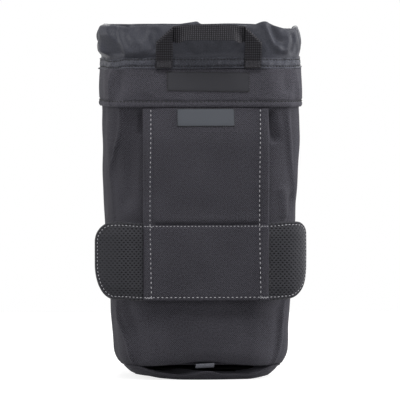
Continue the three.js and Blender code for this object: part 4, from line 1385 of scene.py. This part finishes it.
def flap_margin(side, sign):
    """A folded margin: it starts on the panel's face, turns over the edge and ends behind the flap."""
    across, out = spline(MARGIN_SECTION, 44).T
    z = np.linspace(FLAP_BOTTOM, FLAP_TOP - 0.3, FLAP_ROWS)[:, None]
    x = sign * (FLAP_HALF + across)
    front = smooth((out + 1) / 2)
    lift = out * np.where(out > 0, 1, smooth((FLAP_TOP - z) / 14))
    groove = -0.3 * bell(np.abs(x) - SEAM_X, 0.5)
    level = flap_back(z) + lift + (flap_shape(x, z) + groove) * front
    points = before_rear(x, z, np.maximum(level, 0.25))[:, ::sign]
    piece = grid(f"flap_margin_{side}", points, flap_cloth, thickness=MARGIN_DEPTH)
    stand_for(piece, "outer_fabric", f"flap_binding_{side}")
    bend_with_flap(piece)


def flap_lining():
    z = np.linspace(*span("flap_backing", Z), BACKING_ROWS)[:, None]
    x = np.linspace(-PANEL_HALF, PANEL_HALF, BACKING_COLS)[None, :]
    soft = ripples(before_rear(x, z, 0), BACKING_RIPPLE)
    front = before_rear(x, z, flap_back(z) - BACKING_FRONT)
    back = before_rear(x, z, flap_back(z) - BACKING_BACK + soft)
    piece = slab("flap_backing_cloth", front, back, outer_cloth)
    dress(piece, "outer_fabric", "belt_flap", "flap_backing")


def flap_stitching():
    rows = []
    z = np.linspace(FLAP_TOP - 0.4, FLAP_BOTTOM + 0.8, 300)
    drift = SIDE_STITCH_DRIFT * np.sin(np.pi * (FLAP_TOP - z) / (FLAP_TOP - FLAP_BOTTOM))
    for sign in (-1, 1):
        x = sign * SEAM_X - drift
        rows.append(stitch_points(before_rear(x, z, margin_face(x, z) - 0.3), OUTWARD, *SIDE_STITCH))
    middle = np.linspace(-SEAM_X, SEAM_X, 160)
    for level, pitch, dash, radius in CROSS_STITCHES:
        path = before_rear(middle, level, flap_face(middle, level))
        rows.append(stitch_points(path, OUTWARD, pitch, dash, radius))
        for sign in (-1, 1):
            edge = sign * np.linspace(SEAM_X, FLAP_HALF - 0.4, 30)
            face = margin_face(edge, level)
            path = before_rear(edge, level, face)
            rows.append(stitch_points(path, OUTWARD, END_PITCH, END_DASH, radius))
            path = before_rear(edge - sign * 0.8, level - 0.5, face)
            rows.append(stitch_points(path, OUTWARD, END_PITCH, SECOND_DASH, 0.8 * radius))
    bend_with_flap(stitching("flap_stitching", rows, white_thread))


flap_panel()
flap_margin("left", -1)
flap_margin("right", 1)
flap_lining()
flap_stitching()
label("flap_label", "belt_flap", grey_label, FLAP_LABEL_SHIFT, FLAP_LABEL_TILT, flap_face)

# Closure: hook tape on the flap, loop tape on the rear wall.
PILE_BASE = 0.8
PILE_ROWS, PILE_COLS = 24, 40
PILE_CORNER, PILE_MARGIN, PILE_JITTER = 3.0, 1.6, 0.2
PILE_SIDES, PILE_TIP = 4, 0.7
HOOK_PITCH, HOOK_SEED, HOOK_RADIUS = 1.7, 71, 0.16
HOOK_BEND, HOOK_RISE, HOOK_TURN = 0.7, 1.15, 0.65 * np.pi
LOOP_PITCH, LOOP_SEED, LOOP_RADIUS = 1.5, 72, 0.12
LOOP_WIDTHS, LOOP_RISES = (0.9, 1.6), (0.8, 1.15)


def tape_base(node, body, look, facing_rear):
    """The tape's woven backing; returns its pile side's level out from the rear wall."""
    near, far = (-REAR - y for y in span(node, Y)[::-1])
    x, z, _ = rounded_patch(*rear_box(node), PILE_CORNER, 0.0, PILE_ROWS, PILE_COLS)
    front, back = (far, far - PILE_BASE) if facing_rear else (near + PILE_BASE, near)
    piece = slab(f"{node}_base", before_rear(x, z, front), before_rear(x, z, back), look)
    dress(piece, "pile_tape", body, node)
    return back if facing_rear else front


def pile_places(node, pitch, seed):
    """Jittered places of a pile over a tape, clear of its rounded border, and their random source."""
    rng = np.random.default_rng(seed)
    middle, half = rear_box(node)
    x, z = (np.arange(PILE_MARGIN - size, size - PILE_MARGIN, pitch) for size in half)
    places = np.stack(np.meshgrid(x, z), axis=-1).reshape(-1, 2)
    places = places + rng.uniform(-PILE_JITTER, PILE_JITTER, places.shape) * pitch
    return places + np.array(middle), rng


def pile_rods(places, direction, bend, level, radius):
    """Bent rods: how far each leans along its direction, and its level out from the wall, (rod, ring)."""
    turn = np.linspace(0, 2 * np.pi, PILE_SIDES, endpoint=False)
    x, z = (places[:, axis, None] + bend * direction[axis][:, None] for axis in (0, 1))
    ring = radius * np.stack([np.cos(turn), 0 * turn, np.sin(turn)], axis=-1)
    taper = np.linspace(1.0, PILE_TIP, bend.shape[1])[None, :, None, None]
    return before_rear(x, z, level)[:, :, None] + taper * ring


def hook_tape():
    level = tape_base("hook_tape", "belt_flap", hook_pile, True)
    places, rng = pile_places("hook_tape", HOOK_PITCH, HOOK_SEED)
    share = np.linspace(0, 1, 5)[None, :]
    sign = rng.choice([-1.0, 1.0], len(places))
    level = level - HOOK_RISE * np.sin(HOOK_TURN * share)
    rods = pile_rods(places, (0 * sign, sign), HOOK_BEND * share**2, level, HOOK_RADIUS)
    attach(strands("hook_tape_hooks", rods, hook_pile), "belt_flap")


def loop_tape():
    level = tape_base("loop_tape", "pouch", loop_pile, False)
    places, rng = pile_places("loop_tape", LOOP_PITCH, LOOP_SEED)
    share = np.linspace(0, 1, 7)[None, :]
    bend = rng.uniform(*LOOP_WIDTHS, (len(places), 1)) * (share - 0.5)
    level = level + rng.uniform(*LOOP_RISES, (len(places), 1)) * np.sin(np.pi * share)
    angle = rng.uniform(0, np.pi, len(places))
    rods = pile_rods(places, (np.cos(angle), np.sin(angle)), bend, level, LOOP_RADIUS)
    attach(strands("loop_tape_loops", rods, loop_pile), "pouch")


hook_tape()
loop_tape()

# Wings: padded ends of the flap, faced with mesh and sewn flat round their edges. They are bent back
# differently, as worn cloth is: (side's sign, length, bend at the tip, top corner, bottom corner) of each.
WINGS = {
    "left": (-1, 28.9, math.radians(14), (10.0, 11.0), (13.0, 22.0)),
    "right": (1, 27.4, math.radians(68), (8.5, 8.0), (16.5, 24.0)),
}
WING_COLS, WING_ROWS = 120, 150
WING_FACE = PANEL_STANDOFF + PANEL_DEPTH + 0.3
WING_SEAM = 1.9
WING_EDGE, WING_BACK, WING_BACKING = 2.3, 2.5, 0.8
WING_SWELL, WING_RIPPLE = 0.9, (0.15, 16, 81)
HOLE_DEPTH = 0.4
WING_STITCH = (2.15, 1.35, 0.23)


class Wing:
    """The form of one wing. s runs along its cloth from the root, and z is the height."""

    def __init__(self, side):
        self.side = side
        self.sign, self.length, self.bend, self.top_corner, self.bottom_corner = WINGS[side]
        self.steps = np.linspace(0, self.length, 200)
        angle = self.angle(self.steps)
        self.reach, self.sweep = self.running(np.cos(angle)), self.running(np.sin(angle))

    def running(self, slope):
        """Sum of a slope along the cloth."""
        return np.concatenate([[0], np.cumsum(self.steps[1] * (slope[1:] + slope[:-1]) / 2)])

    def angle(self, s):
        """How far the wing is bent back at s."""
        return self.bend * (s / self.length) ** 2

    def edges(self, s, margin=0.0):
        """Lower and upper edge at s, drawn in by a margin."""

        def corner(size):
            a, b = size[0] - margin, size[1] - margin
            into = np.clip((s - (self.length - margin)) / a + 1, 0, 1)
            return b * (1 - np.sqrt(1 - into**2))

        swell = WING_SWELL * np.sin(np.pi * np.clip(s / self.length, 0, 1)) ** 2
        lower = FLAP_BOTTOM + margin + corner(self.bottom_corner) + 0.8 * swell
        upper = WING_TOP - margin - corner(self.top_corner) + swell
        return lower, upper

    def inside(self, s, z):
        """Distance to the wing's outline."""
        step = 0.01
        nearest = self.length - s
        for here, before, sign in zip(self.edges(s), self.edges(s - step), (1, -1)):
            slope = (here - before) / step
            nearest = np.minimum(nearest, sign * (z - here) / np.sqrt(1 + slope**2))
        return np.clip(nearest, 0, None)

    def place(self, s, z, lift):
        """Points at a height over the wing's bent middle surface, which starts at the mesh's face."""
        angle = self.angle(s)
        x = WING_ROOT + np.interp(s, self.steps, self.reach) + lift * np.sin(angle)
        out = WING_FACE - np.interp(s, self.steps, self.sweep) + lift * np.cos(angle)
        return before_rear(self.sign * x, z, out)

    def face_lift(self, s, z, holes=True):
        """Height of the mesh's face: a flat edge, a sewn groove and a padded middle."""
        d = self.inside(s, z)
        lower, upper = self.edges(0.0)
        swell = np.sin(np.pi * np.clip(s / self.length, 0, 1))
        swell = swell * 4 * (z - lower) * (upper - z) / (upper - lower) ** 2
        lift = -WING_EDGE + 1.2 * np.sqrt(smooth(d / 1.1)) - 0.4 * bell(d - WING_SEAM, 0.6)
        lift += 1.1 * smooth((d - WING_SEAM - 0.2) / 6) + np.clip(swell, 0, 1)
        lift -= 0.2 * smooth((1.8 - s) / 1.8)
        lift += ripples(before_rear(s, z, 0), WING_RIPPLE)
        if holes:
            fade = smooth(d - WING_SEAM - 0.6) * mix(1, 0.55, smooth((s - 9) / 10))
            lift -= HOLE_DEPTH * smooth(2.2 * hole_share(s, z)) * fade
        return lift

    def back_lift(self, s, z):
        """Height of the pad's back."""
        return -WING_BACK - 2.0 * smooth((self.inside(s, z) - WING_SEAM) / 5)

    def grid(self):
        """Places (s, z) all over the wing."""
        s = 0.999 * self.length * np.sin(np.pi / 2 * np.linspace(0, 1, WING_COLS))[None, :]
        t = np.linspace(0, 1, WING_ROWS)[:, None]
        return s + 0 * t, mix(*self.edges(s), t)

    def facing(self, s):
        """Directions that the mesh faces."""
        angle = self.angle(s)
        return np.stack([self.sign * np.sin(angle), -np.cos(angle), 0 * angle], axis=-1)

    def fasten(self, piece):
        """Bakes a piece's transform into its mesh."""
        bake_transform(piece)


def wing(side):
    form = Wing(side)
    s, z = form.grid()
    back = form.back_lift(s, z)
    lifts = (form.face_lift(s, z), back, back - WING_BACKING)
    face, middle, back = (form.place(s, z, lift)[:, ::form.sign] for lift in lifts)
    maps = np.stack([s, z], axis=-1)[:, ::form.sign]
    front_piece = slab(f"{side}_wing_face", face, middle, wing_cloth, maps)
    stand_for(front_piece, "wing_mesh", f"{side}_wing_mesh", f"{side}_wing_pad")
    form.fasten(front_piece)
    back_piece = slab(f"{side}_wing_back", middle, back, outer_cloth, maps)
    stand_for(back_piece, "outer_fabric", f"{side}_wing_backing")
    form.fasten(back_piece)
    run = (form.length - WING_SEAM) * np.sin(np.pi / 2 * np.linspace(0, 1, 300))
    lower, upper = form.edges(run, WING_SEAM)
    line_s = np.concatenate([run, run[::-1]])
    line_z = np.concatenate([upper, lower[::-1]])
    path = form.place(line_s, line_z, form.face_lift(line_s, line_z, holes=False))
    rows = [stitch_points(path, form.facing(line_s), *WING_STITCH)]
    form.fasten(stitching(f"{side}_wing_stitching", rows, white_thread))


wing("left")
wing("right")

# Inside: lining, floor and base.
LINING_ROWS, LINING_COLS = 80, 320
LINING_INSET, LINING_DEPTH = 6.9, 0.7
LINING_RIPPLES = [(0.25, 40, 91), (0.1, 13, 92)]
PLATE_COLS, PLATE_TURNS = 240, 9
PLATE_SHARES = (0.02, 0.25, 0.5, 0.75, 0.92)


def lining_sleeve():
    z = np.linspace(*span("lining_sleeve", Z), LINING_ROWS)[:, None]
    u = around(LINING_COLS)
    points = plan(u, z, ripples(plan(u, z), *LINING_RIPPLES) - LINING_INSET)
    piece = grid("lining_sleeve_cloth", points, lining_cloth, wrap=True, thickness=LINING_DEPTH)
    dress(piece, "lining", "pouch", "lining_sleeve")


def floor_plate(name, node, look, slot, crown, edge):
    """A soft plate of the plan's outline: rounded at its edge, and crowned on top."""
    bottom, top = span(node, Z)
    inset = MOUTH_HALF - TAPER + SIDE_CROWN - span(node, X)[1]
    rows = [(share, bottom, 0) for share in PLATE_SHARES]
    for turn in np.linspace(-math.pi / 2, math.pi / 2, PLATE_TURNS):
        rows.append((1, mix(bottom, top, (1 + math.sin(turn)) / 2), edge * (1 - math.cos(turn))))
    rows += [(share, top + crown * (1 - share**2), 0) for share in PLATE_SHARES[::-1]]
    sections = []
    for share, z, draw in rows:
        ring = plan(around(PLATE_COLS), BODY_BOTTOM, -inset - draw)[0]
        sections.append(np.column_stack([ring[:, :Z] * share, np.full(PLATE_COLS, z)]))
    piece = grid(name, np.array(sections), look, wrap=True)
    fill_ends(piece)
    dress(piece, slot, "pouch", node)
    return piece


lining_sleeve()
floor_plate("lining_floor_cloth", "lining_floor", lining_cloth, "lining", 0.5, 0.3)
floor_plate("base_pad_foam", "base_pad", pad_foam, "foam", 0.0, 1.0)
floor_plate("base_panel_cloth", "base_panel", outer_cloth, "outer_fabric", 0.0, 0.4)

# Bottom pocket: a shallow cloth tray that goes on from the walls' rounded foot, open at the belt side.
TRAY_COLS, TRAY_ROWS, TRAY_FLOOR_ROWS = 480, 34, 16
TRAY_DEPTH, TRAY_SETBACK = 1.2, 0.8
TRAY_RIPPLE = (0.35, 24, 101)
FLOOR_RISE, FLOOR_RISE_RUN, FLOOR_RISE_POWER = 2.6, 27.0, 1.6
LEFT_RISE_START, RIGHT_RISE_START = 13, 25
LIP_SAG, LIP_OPEN = 0.8, 4.0

# How far the pocket's lip sags along the belt side: (x, height).
POCKET_LIP = [
    (-44, 0.0), (-38.7, -0.3), (-35.2, -1.9), (-29.8, -3.4), (-24.5, -4.2), (-14, -5.7), (-7.3, -5.2),
    (-0.8, -3.2), (4.5, -3.4), (9.8, -5.0), (15, -4.9), (24, -5.0), (29.4, -4.8), (34, -3.7),
    (38, -2.1), (42, -0.4), (44, 0.0),
]


def pocket_tray():
    u = around(TRAY_COLS)
    rim = plan(u, TRAY_TOP, -foot_turn(TRAY_TOP))
    rim_x = rim[..., X]
    drop = np.interp(rim_x, *np.array(POCKET_LIP).T)
    for _ in range(3):
        drop = (drop + np.roll(drop, 1) + np.roll(drop, -1)) / 3
    belt_side = np.where(rim[..., Y] < 0, 1.0, 0.0)
    lip = TRAY_TOP + drop * belt_side
    t = np.linspace(0, 1, TRAY_ROWS)[:, None]
    start = np.where(rim_x > 0, RIGHT_RISE_START, LEFT_RISE_START)
    rise = FLOOR_RISE * np.clip((np.abs(rim_x) - start) / FLOOR_RISE_RUN, 0, 1) ** FLOOR_RISE_POWER
    z = mix(rise, lip, (1 - t) ** 1.3)
    bead = 0.7 * bell(lip - z - 0.7, 0.6) - 0.25 * bell(lip - z - 1.8, 0.5)
    open_share = np.clip(-drop * belt_side / LIP_OPEN, 0, 1)
    soft = LIP_SAG * open_share + ripples(plan(u, z), TRAY_RIPPLE) * (0.3 + 0.7 * open_share)
    full = 0.5 * belt_side * smooth(1 - np.abs(rim_x) / 44)
    out = -foot_turn(z) * (1 - full) - TRAY_SETBACK + bead + soft * (1 - t)
    wall_part = plan(u, np.full_like(z, BODY_BOTTOM), out)
    wall_part[..., Z] = z
    shrink = np.linspace(0.96, 0.02, TRAY_FLOOR_ROWS)[:, None, None]
    floor_part = wall_part[-1:] * np.concatenate([shrink, shrink, shrink**4], axis=2)
    points = np.concatenate([wall_part, floor_part])[::-1]
    piece = grid("pocket_tray_cloth", points, outer_cloth, wrap=True, thickness=TRAY_DEPTH)
    fill_ends(piece)
    dress(piece, "outer_fabric", "pouch", "pocket_tray")


# Rain cover, folded to and fro in the pocket, in near-black cloth that is painted shade of the pocket's
# dark inside, and its tab.
COVER_LAYERS, COVER_POINTS, COVER_COLS = 4, 240, 60
COVER_DEPTH, COVER_MARGIN, COVER_TURN = 0.3, 1.2, 1.0
COVER_LIFT, COVER_SWAY = (0.16, 14, 111), (0.5, 26, 112)
TAB_DEPTH, TAB_TILT = 0.8, 0.05


def rain_cover():
    (x0, x1), (y0, y1), (z0, z1) = spans("rain_cover")
    step = (z1 - z0 - 0.5) / (COVER_LAYERS - 1)
    path = []
    for layer in range(COVER_LAYERS):
        level = z0 + 0.25 + layer * step
        ends = (y1 - COVER_MARGIN, y0 + COVER_MARGIN)
        start, end = ends if layer % 2 == 0 else ends[::-1]
        path += [(mix(start, end, t), level) for t in np.linspace(0, 1, 8)]
        if layer < COVER_LAYERS - 1:
            path.append((end + math.copysign(COVER_TURN, end - start), level + step / 2))
    line = spline(path, COVER_POINTS)
    x, y, z = np.broadcast_arrays(np.linspace(x0, x1, COVER_COLS), line[:, :1], line[:, 1:])
    z = z + ripples(np.stack([x, y, 0 * z], axis=-1), COVER_LIFT)
    y = y + ripples(np.stack([x, 0 * y, z], axis=-1), COVER_SWAY)
    points = np.stack([x, y, np.maximum(z, z0)], axis=-1)
    piece = grid("rain_cover_cloth", points, rain_cloth_painted_shade, thickness=COVER_DEPTH, offset=0)
    dress(piece, "collar_fabric", "rain_cover", "rain_cover")


def rain_cover_tab():
    """A folded tape that lies on the cover and turns up in front of the body's lower edge."""
    (x0, x1), (y0, y1), (_, z1) = spans("rain_cover_tab")
    top = z1 - 0.4
    line = spline([
        (y1, top), (y1 - 4, top), (y0 + 3, top - 0.2),
        (y0 - 0.4, top - 0.3), (y0 - 2.2, top + 0.3), (y0 - 2.9, top + 1.9),
    ], 60)
    x, y, z = np.broadcast_arrays(np.linspace(x0, x1, 24), line[:, :1], line[:, 1:])
    z = z + TAB_TILT * x * smooth((y0 + 2 - y) / 3)
    points = np.stack([x, y, z], axis=-1)
    piece = grid("rain_cover_pull_tab", points, tab_cloth, thickness=TAB_DEPTH, offset=0)
    dress(piece, "tab_fabric", "rain_cover", "rain_cover_tab")


pocket_tray()
rain_cover()
rain_cover_tab()
